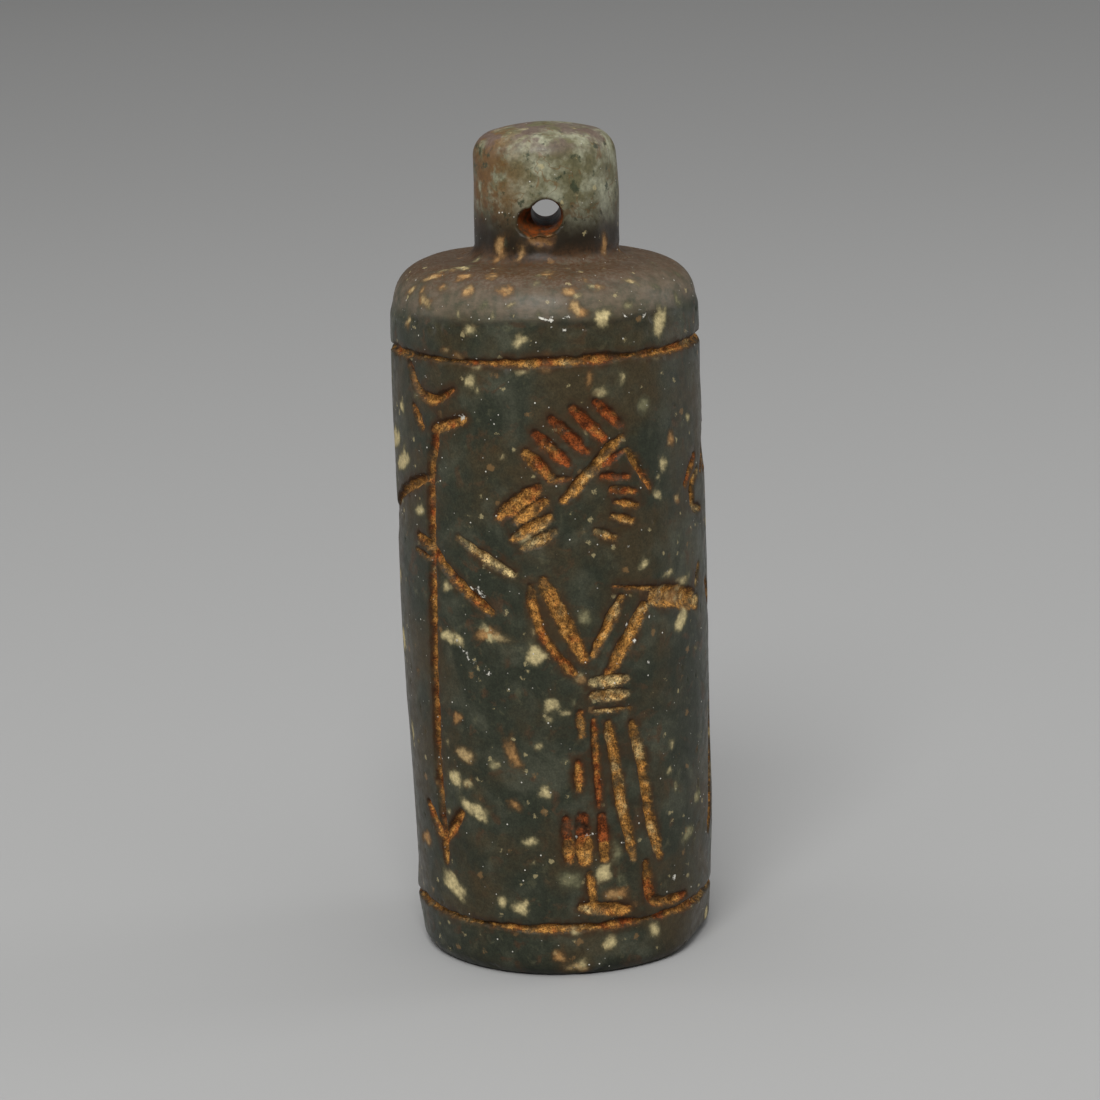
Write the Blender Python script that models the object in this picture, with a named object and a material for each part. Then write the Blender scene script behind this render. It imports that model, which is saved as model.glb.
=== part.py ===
"""A cylinder seal: one dark stone, turned and ground to a slightly bellied cylinder, with a rounded
shoulder, a knob pierced for a string, a groove near each end of the wall and engraved figures between them.

It stands on its flat underside at z = 0, with its axis on Z. Its front faces -Y. Sizes are in metres.
"""

from math import cos, hypot, pi, radians, sin

import bmesh
import bpy

# Body
FOOT_RADIUS = 0.00968
BELLY_RADIUS = 0.01012
RIM_RADIUS = 0.00995
WALL_HEIGHT = 0.0423
BELLY_SHARE = 0.55  # the widest place, as a share of the wall's height
BELLY_POWER = 1.5  # 2 is a parabola, and less is a fuller belly with straighter ends
FOOT_ROUNDING = 0.0005
FOOT_SHIFT = 0.00015  # the stone's foot stands this far to the right of its axis, as ground by hand

# Shoulder
SHOULDER_RISE = 0.0033
SHOULDER_SQUARENESS = 2.4  # 2 is an ellipse, and more is a fuller curve
RIM_CREASE = 0.00015  # how far the shoulder starts in from the wall's edge

# Knob
KNOB_RADIUS = 0.00462
KNOB_FLARE = 0.00012
KNOB_HEIGHT = 0.0085
KNOB_EDGE_RADIUS = 0.0017
KNOB_DOME = 0.0005
KNOB_FOOT_FILLET = 0.0008
KNOB_SHIFT = 0.0003  # the knob stands this far to the right of the axis

# String hole
HOLE_RADIUS = 0.00095
HOLE_HEIGHT = 0.0030  # its middle, above the shoulder
HOLE_MOUTH_RADIUS = 0.0015
HOLE_MOUTH_DEPTH = 0.0011
HOLE_WEAR = 0.0005  # how far the string dragged the front mouth down and to the left

# Border grooves
BORDER_WIDTH = 0.0008
BORDER_DEPTH = 0.00030
LOWER_BORDER_HEIGHT = 0.00336
UPPER_BORDER_DROP = 0.00205  # below the wall's upper edge

# Engraved strokes
STROKE_WIDTH = 0.0007
STROKE_DEPTH = 0.00032
FLOOR_SHARE = 0.45  # a stroke's flat floor, as a share of its width
TIP_LENGTH = 0.7  # over which a stroke narrows and rises at its ends, as a share of its width
TIP_WIDTH = 0.6  # a stroke's width and depth at its very end, as shares of its own
TIP_DEPTH = 0.3

# The picture's squared grid: columns round the wall, counted from the front, and rows between the borders
GRID_COLUMNS = 63
GRID_ROWS = 37

# Facets
SIDES = 64
HOLE_SIDES = 20
WALL_STEPS = 5
STATION_STEP = 2.2  # grid squares between a stroke's cross-sections
CUTTER_LIFT = 0.00025  # how far a stroke's cutter stands out of the wall

UPPER_BORDER_HEIGHT = WALL_HEIGHT - UPPER_BORDER_DROP
SHOULDER_TOP = WALL_HEIGHT + SHOULDER_RISE
KNOB_FOOT_RADIUS = KNOB_RADIUS + KNOB_FLARE
TOTAL_HEIGHT = SHOULDER_TOP + KNOB_HEIGHT


def wall_radius(z):
    """The wall's radius at a height: a slight belly, drawn in more at the foot than at the rim."""
    belly = BELLY_SHARE * WALL_HEIGHT
    if z < belly:
        return BELLY_RADIUS - (BELLY_RADIUS - FOOT_RADIUS) * ((belly - z) / belly) ** BELLY_POWER
    return BELLY_RADIUS - (BELLY_RADIUS - RIM_RADIUS) * ((z - belly) / (WALL_HEIGHT - belly)) ** BELLY_POWER


def axis_offset(z):
    """How far the stone's middle stands to the right at a height: a little at the foot and at the knob."""
    foot = max(0, 1 - z / (BELLY_SHARE * WALL_HEIGHT))
    knob = min(max((z - SHOULDER_TOP) / KNOB_FOOT_FILLET, 0), 1)
    return FOOT_SHIFT * foot + KNOB_SHIFT * knob


def arc(centre, radius, start, end, steps):
    """Points along an arc from one angle to another, in degrees."""
    turns = [radians(start + (end - start) * i / steps) for i in range(steps + 1)]
    return [(centre[0] + radius * cos(turn), centre[1] + radius * sin(turn)) for turn in turns]


def knob_profile():
    """From the middle of the domed top, round its edge and down to the foot's fillet."""
    edge_start = KNOB_RADIUS - KNOB_EDGE_RADIUS
    edge_height = TOTAL_HEIGHT - KNOB_DOME - KNOB_EDGE_RADIUS
    top = [(edge_start * share, TOTAL_HEIGHT - KNOB_DOME * share**2) for share in (0, 0.55)]
    edge = arc((edge_start, edge_height), KNOB_EDGE_RADIUS, 90, 0, 4)
    fillet_centre = (KNOB_FOOT_RADIUS + KNOB_FOOT_FILLET, SHOULDER_TOP + KNOB_FOOT_FILLET)
    return top + edge + arc(fillet_centre, KNOB_FOOT_FILLET, 180, 255, 2)


def shoulder_profile():
    """From the knob's foot out and down to the wall's upper edge."""
    inner = KNOB_FOOT_RADIUS + KNOB_FOOT_FILLET
    reach = RIM_RADIUS - RIM_CREASE - inner
    steps = 5
    points = []
    for i in range(1, steps + 1):
        turn = radians(90 * i / (steps + 0.4))
        across, up = sin(turn) ** (2 / SHOULDER_SQUARENESS), cos(turn) ** (2 / SHOULDER_SQUARENESS)
        points.append((inner + reach * across, WALL_HEIGHT + SHOULDER_RISE * up))
    return points


def border_profile(height):
    """One border groove, from its upper edge to its lower edge."""
    half, floor = BORDER_WIDTH / 2, BORDER_WIDTH * FLOOR_SHARE / 2
    return [
        (wall_radius(height + half), height + half),
        (wall_radius(height) - BORDER_DEPTH, height + floor),
        (wall_radius(height) - BORDER_DEPTH, height - floor),
        (wall_radius(height - half), height - half),
    ]


def wall_profile():
    """Down the wall, through both border grooves, to the rounding at the foot."""
    span = UPPER_BORDER_HEIGHT - LOWER_BORDER_HEIGHT
    between = [UPPER_BORDER_HEIGHT - span * i / WALL_STEPS for i in range(1, WALL_STEPS)]
    foot_centre = (wall_radius(FOOT_ROUNDING) - FOOT_ROUNDING, FOOT_ROUNDING)
    return (
        [(RIM_RADIUS, WALL_HEIGHT)]
        + border_profile(UPPER_BORDER_HEIGHT)
        + [(wall_radius(z), z) for z in between]
        + border_profile(LOWER_BORDER_HEIGHT)
        + arc(foot_centre, FOOT_ROUNDING, 0, -90, 3)
        + [(0, 0)]
    )


def turned_stone():
    """The whole stone as one turned shape, then moved to where its middle stands at each height."""
    bm = bmesh.new()
    points = [bm.verts.new((r, 0, z)) for r, z in knob_profile() + shoulder_profile() + wall_profile()]
    edges = [bm.edges.new(pair) for pair in zip(points, points[1:])]
    bmesh.ops.spin(
        bm, geom=points + edges, axis=(0, 0, 1), cent=(0, 0, 0), angle=2 * pi, steps=SIDES, use_merge=True
    )
    bmesh.ops.remove_doubles(bm, verts=bm.verts, dist=1e-7)
    for vert in bm.verts:
        vert.co.x += axis_offset(vert.co.z)
    bmesh.ops.recalc_face_normals(bm, faces=bm.faces)
    mesh = bpy.data.meshes.new("cylinder_seal")
    bm.to_mesh(mesh)
    bm.free()
    stone = bpy.data.objects.new("cylinder_seal", mesh)
    bpy.context.scene.collection.objects.link(stone)
    return stone


# String hole


def string_hole():
    """A cutter along Y: a straight drill hole, with a cone at each mouth where the string wore it."""
    outer = KNOB_FOOT_RADIUS + HOLE_MOUTH_DEPTH
    spread = (HOLE_MOUTH_RADIUS - HOLE_RADIUS) / HOLE_MOUTH_DEPTH
    inner = KNOB_RADIUS - HOLE_MOUTH_DEPTH
    wide = HOLE_RADIUS + spread * (outer - inner)
    front = ((-outer, wide, HOLE_WEAR), (-inner, HOLE_RADIUS, 0))
    back = ((inner, HOLE_RADIUS, 0), (outer, wide, 0))
    bm = bmesh.new()
    rings = []
    for y, radius, wear in front + back:
        ring = bmesh.ops.create_circle(bm, cap_ends=False, segments=HOLE_SIDES, radius=radius)["verts"]
        for vert in ring:
            across, up = vert.co.x + KNOB_SHIFT - wear, vert.co.y + SHOULDER_TOP + HOLE_HEIGHT - wear
            vert.co = (across, y, up)
        rings.append([edge for edge in bm.edges if edge.verts[0] in ring and edge.verts[1] in ring])
    for near, far in zip(rings, rings[1:]):
        bmesh.ops.bridge_loops(bm, edges=near + far)
    bmesh.ops.holes_fill(bm, edges=rings[0] + rings[-1])
    return cutter("string_hole_cutter", bm)


def cutter(name, bm):
    """A closed helper shape, left out of renders."""
    bmesh.ops.recalc_face_normals(bm, faces=bm.faces)
    mesh = bpy.data.meshes.new(name)
    bm.to_mesh(mesh)
    bm.free()
    obj = bpy.data.objects.new(name, mesh)
    obj.hide_render = True
    obj.display_type = "WIRE"
    bpy.context.scene.collection.objects.link(obj)
    return obj


# The strokes' shape


def on_wall(column, row, lift):
    """The grid's point on the wall, lifted out of the stone by so much."""
    z = LOWER_BORDER_HEIGHT + (UPPER_BORDER_HEIGHT - LOWER_BORDER_HEIGHT) * row / GRID_ROWS
    turn = 2 * pi * column / GRID_COLUMNS
    radius = wall_radius(z) + lift
    return (radius * sin(turn) + axis_offset(z), -radius * cos(turn), z)


def smooth_point(points, place):
    """The point at a place along a smooth curve through the points, 0 at the first and 1 at the second."""
    i = min(int(place), len(points) - 2)
    t = place - i
    a, b = points[i], points[i + 1]
    before = points[i - 1] if i else (2 * a[0] - b[0], 2 * a[1] - b[1])
    after = points[i + 2] if i + 2 < len(points) else (2 * b[0] - a[0], 2 * b[1] - a[1])
    blended = []
    for p0, p1, p2, p3 in zip(before, a, b, after):
        squared, cubed = 2 * p0 - 5 * p1 + 4 * p2 - p3, 3 * p1 - p0 - 3 * p2 + p3
        blended.append(0.5 * (2 * p1 + (p2 - p0) * t + squared * t**2 + cubed * t**3))
    return tuple(blended)


def stroke_places(points, tip):
    """Even places along a stroke, with one a tip's length in from each end."""
    lengths = [hypot(b[0] - a[0], b[1] - a[1]) for a, b in zip(points, points[1:])]
    inset_first, inset_last = min(tip / lengths[0], 0.33), min(tip / lengths[-1], 0.33)
    places = [0, inset_first]
    for i, length in enumerate(lengths):
        start = inset_first if i == 0 else 0
        end = 1 - inset_last if i == len(lengths) - 1 else 1
        steps = max(1, round(length * (end - start) / STATION_STEP))
        places += [i + start + (end - start) * k / steps for k in range(1, steps + 1)]
    return places + [len(lengths)]


def add_stroke(bm, points, width=1.0, depth=1.0):
    """One engraved stroke's cutter through grid points, with a flat floor, sloping sides and shallow tips."""
    column_size = 2 * pi * BELLY_RADIUS / GRID_COLUMNS
    row_size = (UPPER_BORDER_HEIGHT - LOWER_BORDER_HEIGHT) / GRID_ROWS
    half, deep = STROKE_WIDTH * width / 2, STROKE_DEPTH * depth
    places = stroke_places(points, STROKE_WIDTH * width * TIP_LENGTH / row_size)
    centres = [smooth_point(points, place) for place in places]
    rings = []
    for i, (column, row) in enumerate(centres):
        ahead, behind = centres[min(i + 1, len(centres) - 1)], centres[max(i - 1, 0)]
        along = ((ahead[0] - behind[0]) * column_size, (ahead[1] - behind[1]) * row_size)
        side = (-along[1] / hypot(*along) / column_size, along[0] / hypot(*along) / row_size)
        is_tip = i in (0, len(centres) - 1)
        across, down = (half * TIP_WIDTH, deep * TIP_DEPTH) if is_tip else (half, deep)
        slope = half * (1 - FLOOR_SHARE) / deep
        corners = (
            (across + slope * CUTTER_LIFT, CUTTER_LIFT),
            (across - slope * down, -down),
            (slope * down - across, -down),
            (-across - slope * CUTTER_LIFT, CUTTER_LIFT),
        )
        rings.append([bm.verts.new(on_wall(column + side[0] * u, row + side[1] * u, n)) for u, n in corners])
    for near, far in zip(rings, rings[1:]):
        for k in range(4):
            bm.faces.new((near[k], near[(k + 1) % 4], far[(k + 1) % 4], far[k]))
    bm.faces.new(rings[0])
    bm.faces.new(rings[-1])


# The picture, in grid squares: each function returns strokes as (points, width, depth)


def toward(start, angle, length):
    """The point so far from the start, at an angle in degrees from the right."""
    return (start[0] + length * cos(radians(angle)), start[1] + length * sin(radians(angle)))


def mirrored(strokes, axis):
    """The strokes turned to face the other way, about a column."""
    turned = []
    for points, width, depth in strokes:
        turned.append(([(2 * axis - column, row) for column, row in points], width, depth))
    return turned


def headdress(count):
    """A brim line, with a comb of feathers standing behind it. The middle ones are the longest."""
    strokes = [([(0.8, 28.3), (4.6, 31.9)], 1.1, 1)]
    for i in range(count):
        foot = (0.0 + 1.15 * i, 29.75 + 0.75 * i)
        reach = 3.0 - 0.2 * (i - (count - 1) / 2) ** 2
        strokes.append(([foot, toward(foot, 134, reach)], 1, 1.1))
    strokes.append(([(-0.1, 29.5), (1.2, 29.6)], 0.7, 0.6))
    return strokes


def face(bars):
    """A plain schematic face: a forehead line, a brow, and a ladder of short bars down to the beard."""
    strokes = [([(5.1, 31.1), (6.7, 28.5)], 0.8, 0.9), ([(3.5, 30.3), (4.9, 31.1)], 0.8, 0.8)]
    for i in range(bars):
        start = (3.3 + 0.9 * sin(pi * i / (bars - 1)), 29.6 - 0.86 * i)
        strokes.append(([start, toward(start, -8 - 4 * i, 1.8 - 0.12 * i)], 0.8, 0.8))
    return strokes


def hair_locks(count):
    """Locks on the neck, long and short by turns."""
    strokes = []
    for i in range(count):
        start = (-0.9 + 0.25 * i, 29.0 - 0.92 * i)
        strokes.append(([start, toward(start, 213, 2.0 if i % 2 else 3.0)], 1.2, 1))
    return strokes


def torso():
    """The crossed robe: two lines down from each shoulder, meeting at the belt."""
    return [
        ([(-1.5, 22.8), (-1.4, 21.6), (-0.6, 19.2), (1.1, 17.0)], 1, 0.9),
        ([(-0.7, 23.1), (1.6, 18.3)], 1.2, 1),
        ([(4.3, 21.7), (2.3, 18.2)], 1.1, 0.9),
        ([(5.9, 20.7), (4.5, 18.7), (3.3, 17.0)], 1.25, 1),
    ]


def reaching_arm():
    """The forward arm: an upper line, a lower line and a broad hand."""
    return [
        ([(3.8, 22.5), (5.7, 22.1), (7.8, 21.8)], 0.8, 0.8),
        ([(5.9, 20.7), (6.7, 21.0), (8.2, 20.6)], 0.7, 0.7),
        ([(7.4, 21.7), (9.2, 21.0), (11.3, 20.2)], 1.5, 1),
        ([(11.4, 21.2), (12.0, 22.5)], 0.7, 0.7),
    ]


def belt():
    """Three bars across the waist, the lowest one thinner."""
    rows = [16.35 - 0.95 * i for i in range(3)]
    return [([(2.0, row), (4.6, row - 0.1)], 0.8 if row == rows[-1] else 1.1, 0.9) for row in rows]


def robe():
    """Two long folds down to the ankles and a broken one behind them."""
    return [
        ([(3.1, 13.6), (3.6, 10.6), (4.0, 7.6), (4.7, 4.3)], 1.15, 1),
        ([(4.8, 13.4), (5.5, 10.4), (6.0, 7.0), (6.7, 4.1)], 1.2, 1),
        ([(1.3, 14.4), (1.4, 13.0)], 1, 0.8),
        ([(1.1, 11.1), (1.1, 9.4)], 1, 0.8),
        ([(2.2, 13.9), (2.3, 11.0), (2.4, 8.2)], 0.9, 0.8),
    ]


def fringe(count):
    """Short tassels side by side at the robe's hem."""
    return [([(0.15 + 1.2 * i, 7.4), (0.25 + 1.2 * i, 4.6)], 1.15, 1) for i in range(count)]


def feet():
    """An ankle and a foot to the left, and to the right a leg that turns into its foot."""
    return [
        ([(1.6, 3.7), (1.75, 1.9)], 1, 0.9),
        ([(1.0, 1.5), (4.1, 0.9)], 1.3, 1),
        ([(5.6, 3.8), (5.8, 1.8), (6.5, 0.95), (9.1, 0.8)], 1, 0.9),
    ]


def offering_arm():
    """The arm stretched out behind to hold the staff, with a rod above it."""
    return [
        ([(-10.0, 25.4), (-8.5, 24.6), (-7.2, 23.3), (-4.1, 21.0)], 1, 1),
        ([(-10.4, 24.4), (-8.9, 24.0)], 0.7, 0.7),
        ([(-6.3, 25.7), (-2.5, 23.5)], 0.9, 0.7),
    ]


def crescent_staff():
    """A tall staff under a crescent moon, with short rays below the moon and a barbed foot."""
    moon = [toward((-8.1, 36.7), angle, 2.35) for angle in (187, 230, 272, 318)]
    staff = [(-7.8, 32.4), (-8.5, 29.4), (-8.7, 22.6), (-9.2, 12.6), (-9.1, 7.6), (-9.0, 3.7)]
    strokes = [(moon, 0.95, 1), (staff, 1.1, 1)]
    for side, outer, inner in ((1, 2.0, 0.1), (-1, 2.0, 1.1)):
        strokes.append(([(-8.1 + side * outer, 33.7), (-8.1 + side * inner, 32.5)], 0.9, 0.8))
        strokes.append(([(-9.0 + side * 1.8, 7.3), (-9.0 + side * 0.25, 5.3)], 1.1, 1))
    strokes.append(([(-8.6, 29.3), (-9.9, 28.6), (-12.3, 27.5), (-13.8, 25.8), (-15.2, 23.4)], 1, 0.9))
    return strokes


def cup():
    """A cup raised between the two figures."""
    bowl = [toward((12.4, 27.3), angle, 1.3) for angle in (100, 160, 220, 280)]
    return [(bowl, 0.9, 0.8), ([(10.3, 28.1), (11.8, 29.6)], 0.9, 0.8)]


def tree(axis, pairs):
    """A sacred tree: a stem with paired leaves, which shorten towards the top."""
    strokes = [([(axis, 0.6), (axis + 0.2, 12), (axis, 25.5)], 1.1, 1)]
    for i in range(pairs):
        for side in (-1, 1):
            foot = (axis + side * 0.5, 5.5 + 3.3 * i)
            strokes.append(([foot, toward(foot, 90 - side * 52, 4.0 - 0.35 * i)], 1, 0.85))
    return strokes


def star(centre, rays, reach):
    """A star of strokes that cross in its middle."""
    angles = [180 * i / rays + 8 for i in range(rays)]
    return [([toward(centre, a, reach), toward(centre, a + 180, reach)], 0.9, 0.9) for a in angles]


def stand(axis, height, rungs):
    """An offering stand: two splayed legs joined by rungs, under a table top."""
    strokes = [([(axis + side * 2.3, 0.7), (axis + side * 1.2, height)], 1, 0.9) for side in (-1, 1)]
    strokes.append(([(axis - 3.0, height + 0.9), (axis + 3.0, height + 0.9)], 1.2, 1))
    for i in range(rungs):
        row = height * (i + 1) / (rungs + 1)
        half = 2.3 - 1.1 * row / height - 0.35
        strokes.append(([(axis - half, row), (axis + half, row)], 0.8, 0.8))
    return strokes


def picture():
    """All strokes round the wall: the worshipper in front, then to the right the plainer hidden side."""
    worshipper = headdress(5) + face(5) + hair_locks(4) + torso() + reaching_arm() + belt() + robe()
    worshipper += fringe(3) + feet() + offering_arm()
    seated_god = headdress(4) + face(3) + hair_locks(2) + torso() + belt() + robe()[:3] + feet()[1:2]
    hidden = tree(28.5, 5) + star((40, 31), 4, 2.4) + stand(40, 15, 3)
    return worshipper + crescent_staff() + cup() + mirrored(seated_god, 9.9) + hidden


def carving():
    """All the strokes' cutters, as one helper shape."""
    bm = bmesh.new()
    for points, width, depth in picture():
        add_stroke(bm, points, width, depth)
    return cutter("carving_cutter", bm)


# Assembly


def stone_material():
    """Dark grey-green stone with a worn satin polish."""
    material = bpy.data.materials.new("dark_green_stone")
    material.use_nodes = True
    shader = material.node_tree.nodes["Principled BSDF"]
    shader.inputs["Base Color"].default_value = (0.055, 0.062, 0.050, 1)
    shader.inputs["Roughness"].default_value = 0.45
    shader.inputs["Metallic"].default_value = 0.0
    return material


def cut(stone, tool, own_overlaps):
    """Cuts a helper shape out of the stone, for good, and clears the helper away."""
    boolean = stone.modifiers.new(tool.name, "BOOLEAN")
    boolean.operation = "DIFFERENCE"
    boolean.solver = "EXACT"
    boolean.use_self = own_overlaps
    boolean.object = tool
    graph = bpy.context.evaluated_depsgraph_get()
    stone.data = bpy.data.meshes.new_from_object(stone.evaluated_get(graph))
    stone.modifiers.clear()
    bpy.data.objects.remove(tool)


def main():
    for obj in list(bpy.data.objects):
        bpy.data.objects.remove(obj)
    stone = turned_stone()
    cut(stone, string_hole(), False)
    cut(stone, carving(), True)
    stone.data.name = "cylinder_seal"
    stone.data.materials.clear()
    stone.data.materials.append(stone_material())
    stone.data.shade_smooth()
    stone.data.set_sharp_from_angle(angle=radians(32))


main()
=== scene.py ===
"""The looks of a cylinder seal: a dark grey-green stone with pale inclusions, worn to a satin polish.
Ochre earth and rust lie in its engraved strokes, its border grooves and the string hole of its knob.

The seal stands on its flat foot at z = 0 with its axis on Z, and its front faces -Y. Sizes are in metres.
"""

from math import acos, cos, degrees, hypot, pi, radians, sin

import bpy
import numpy as np
from bpy.props import FloatProperty, FloatVectorProperty, IntProperty, PointerProperty
from mathutils import Matrix, Vector


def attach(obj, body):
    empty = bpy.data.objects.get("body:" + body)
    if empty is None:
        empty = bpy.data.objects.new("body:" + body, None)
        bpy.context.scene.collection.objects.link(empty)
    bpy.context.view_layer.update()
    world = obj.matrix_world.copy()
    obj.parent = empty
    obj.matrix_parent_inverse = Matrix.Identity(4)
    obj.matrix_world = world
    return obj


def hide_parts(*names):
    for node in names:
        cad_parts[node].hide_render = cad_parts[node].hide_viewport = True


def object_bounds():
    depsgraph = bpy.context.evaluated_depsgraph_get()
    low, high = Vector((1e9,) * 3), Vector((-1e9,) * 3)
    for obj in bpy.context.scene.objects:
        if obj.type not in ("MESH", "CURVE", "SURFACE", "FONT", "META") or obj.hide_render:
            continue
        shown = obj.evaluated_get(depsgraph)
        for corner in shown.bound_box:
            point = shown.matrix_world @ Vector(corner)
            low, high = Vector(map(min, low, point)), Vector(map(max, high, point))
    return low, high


bl_info = {
    "name": "Cylinder seal",
    "version": (1, 0, 0),
    "blender": (4, 5, 0),
    "location": "3D View > Sidebar > Seal",
    "description": "A worn stone cylinder seal with earth in its engraving, and a plain stage for it",
    "category": "Add Mesh",
}

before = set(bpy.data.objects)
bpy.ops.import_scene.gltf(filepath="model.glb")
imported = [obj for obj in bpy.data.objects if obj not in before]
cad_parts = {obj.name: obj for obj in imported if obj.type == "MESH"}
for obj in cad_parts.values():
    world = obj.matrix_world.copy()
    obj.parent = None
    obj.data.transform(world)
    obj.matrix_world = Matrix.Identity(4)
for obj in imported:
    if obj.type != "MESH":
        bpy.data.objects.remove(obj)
CAD_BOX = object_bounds()

MM = 0.001
SEAL_HEIGHT = CAD_BOX[1][2] - CAD_BOX[0][2]

# Straight steps in the turned outline and the round forms
ROUND_STEPS = 256
WALL_STEPS = 60
SHOULDER_STEPS = 26
HOLE_STEPS = 48
SHOULDER_START = 83  # degrees from the shoulder's top to where its curve starts at the wall

# The string hole's mouths and its worn channel
MOUTHS = ((-1, 0.35), (1, 1))  # (side, share of the full cone), front and back
CHANNEL_START = 0.45  # how far out of the knob's middle, as a share of its radius
CHANNEL_ENDS = (0.8, 1.15)  # its radius inside and outside, as shares of its usual one

# The strokes' shape: the banks' start and end are shares of half the width
STROKE_BANK = (0.3, 1.12)
BORDER_BANK = (0.2, 1.15)
BORDER_REACH = 0.0015
END_WIDTH = 0.72  # a stroke's width and depth at its very end, as shares of its own
END_DEPTH = 0.45
END_RISE = 1.5  # how far from its end it is at full depth, in usual widths

# The ridge at the shoulder's edge
RIDGE_HEIGHT = 0.00018
RIDGE_GROOVE = 0.00005

# Where the stone's colours change, as heights in millimetres (from, to)
# The shoulder's colour is lighter than the wall's partly as painted top light
SHOULDER_LIT_COLOUR = (42.4, 43.5)
TURNING_LINES = (42.0, 43.5)
STAIN_START = (43.8, 45.5)
STAIN_END = (46.9, 45.8)
KNOB_COLOUR = (45.6, 46.2)
KNOB_DARK = (50.6, 46.9)
KNOB_TOP = (52.0, 53.6)

# Layers of soft noise, as (amount, size of its lumps, seed)
PITTED_SPOTS = ((0.00004, 0.00025, 32),)
STROKE_GRAIN = ((0.00002, 0.0002, 31),)
RAGGED_EDGE = ((0.00008, 0.0006, 11), (0.00004, 0.00026, 12))
WORN_BORDER = ((0.25, 0.0026, 22), (0.3, 0.001, 23))
UNEVEN_STONE = ((0.00006, 0.006, 33), (0.000022, 0.0021, 34), (0.000007, 0.0007, 35))


# Settings


def length(name, description, default):
    return FloatProperty(name=name, description=description, default=default, unit="LENGTH", precision=5)


def share(name, description, default):
    return FloatProperty(name=name, description=description, default=default)


def colour(name, description, default):
    return FloatVectorProperty(
        name=name, description=description, default=default, size=3, subtype="COLOR", min=0, max=1
    )


class SealSizes(bpy.types.PropertyGroup):
    foot_radius: length("Foot radius", "The wall's radius at the underside", 0.00968)
    belly_radius: length("Belly radius", "The wall's radius at its widest", 0.01012)
    rim_radius: length("Rim radius", "The wall's radius at the shoulder", 0.00995)
    wall_height: length("Wall height", "From the underside to the shoulder", 0.0423)
    belly_share: share("Belly place", "The widest place, as a share of the wall's height", 0.55)
    belly_power: share("Belly power", "2 is a parabola, and less is a fuller belly", 1.5)
    foot_rounding: length("Foot rounding", "Radius of the underside's worn edge", 0.0009)
    foot_shift: length("Foot shift", "How far the foot stands to the right of the axis", 0.00015)
    shoulder_rise: length("Shoulder rise", "From the wall's edge to the knob's foot", 0.0033)
    shoulder_power: share("Shoulder squareness", "2 is an ellipse, and more is a fuller curve", 2.6)
    shoulder_slope: share("Shoulder slope", "How much the shoulder falls to the right", 0.02)
    rim_crease: length("Rim crease", "How far the shoulder starts in from the wall", 0.00015)
    knob_radius: length("Knob radius", "The knob's radius at its top", 0.00462)
    knob_flare: length("Knob flare", "How much wider the knob is at its foot", 0.00012)
    knob_edge: length("Knob edge", "Radius of the knob's rounded edge", 0.0017)
    knob_dome: length("Knob dome", "How far the knob's top rises in the middle", 0.00036)
    knob_fillet: length("Knob fillet", "Radius of the hollow at the knob's foot", 0.0008)
    knob_shift: length("Knob shift", "How far the knob stands to the right of the axis", 0.0003)
    hole_radius: length("String hole radius", "Radius of the drill hole through the knob", 0.00095)
    hole_height: length("String hole height", "The hole's middle, above the shoulder", 0.0030)
    mouth_radius: length("Mouth radius", "Radius of the hole's worn mouth", 0.0015)
    mouth_depth: length("Mouth depth", "Depth of the hole's worn mouth", 0.0011)
    channel_radius: length("Channel radius", "The channel that the string wore in the front mouth", 0.00085)
    channel_reach: length("Channel reach", "How far left of the hole the channel comes out", 0.00115)
    channel_drop: length("Channel drop", "How far below the hole's middle the channel comes out", 0.00035)
    border_width: length("Border width", "Width of the groove at each end of the wall", 0.00072)
    border_depth: length("Border depth", "Depth of the groove at each end of the wall", 0.00034)
    lower_border: length("Lower border height", "The lower groove, above the underside", 0.00336)
    upper_border_drop: length("Upper border drop", "The upper groove, below the shoulder", 0.00205)
    stroke_width: length("Stroke width", "Width of an engraved stroke", 0.00078)
    stroke_depth: length("Stroke depth", "Depth of an engraved stroke", 0.00042)
    grain: length("Mesh grain", "Side of the fine mesh's squares before it is thinned", 0.00012)
    triangles: IntProperty(name="Triangles", description="Most triangles on the stone", default=194000)


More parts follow.
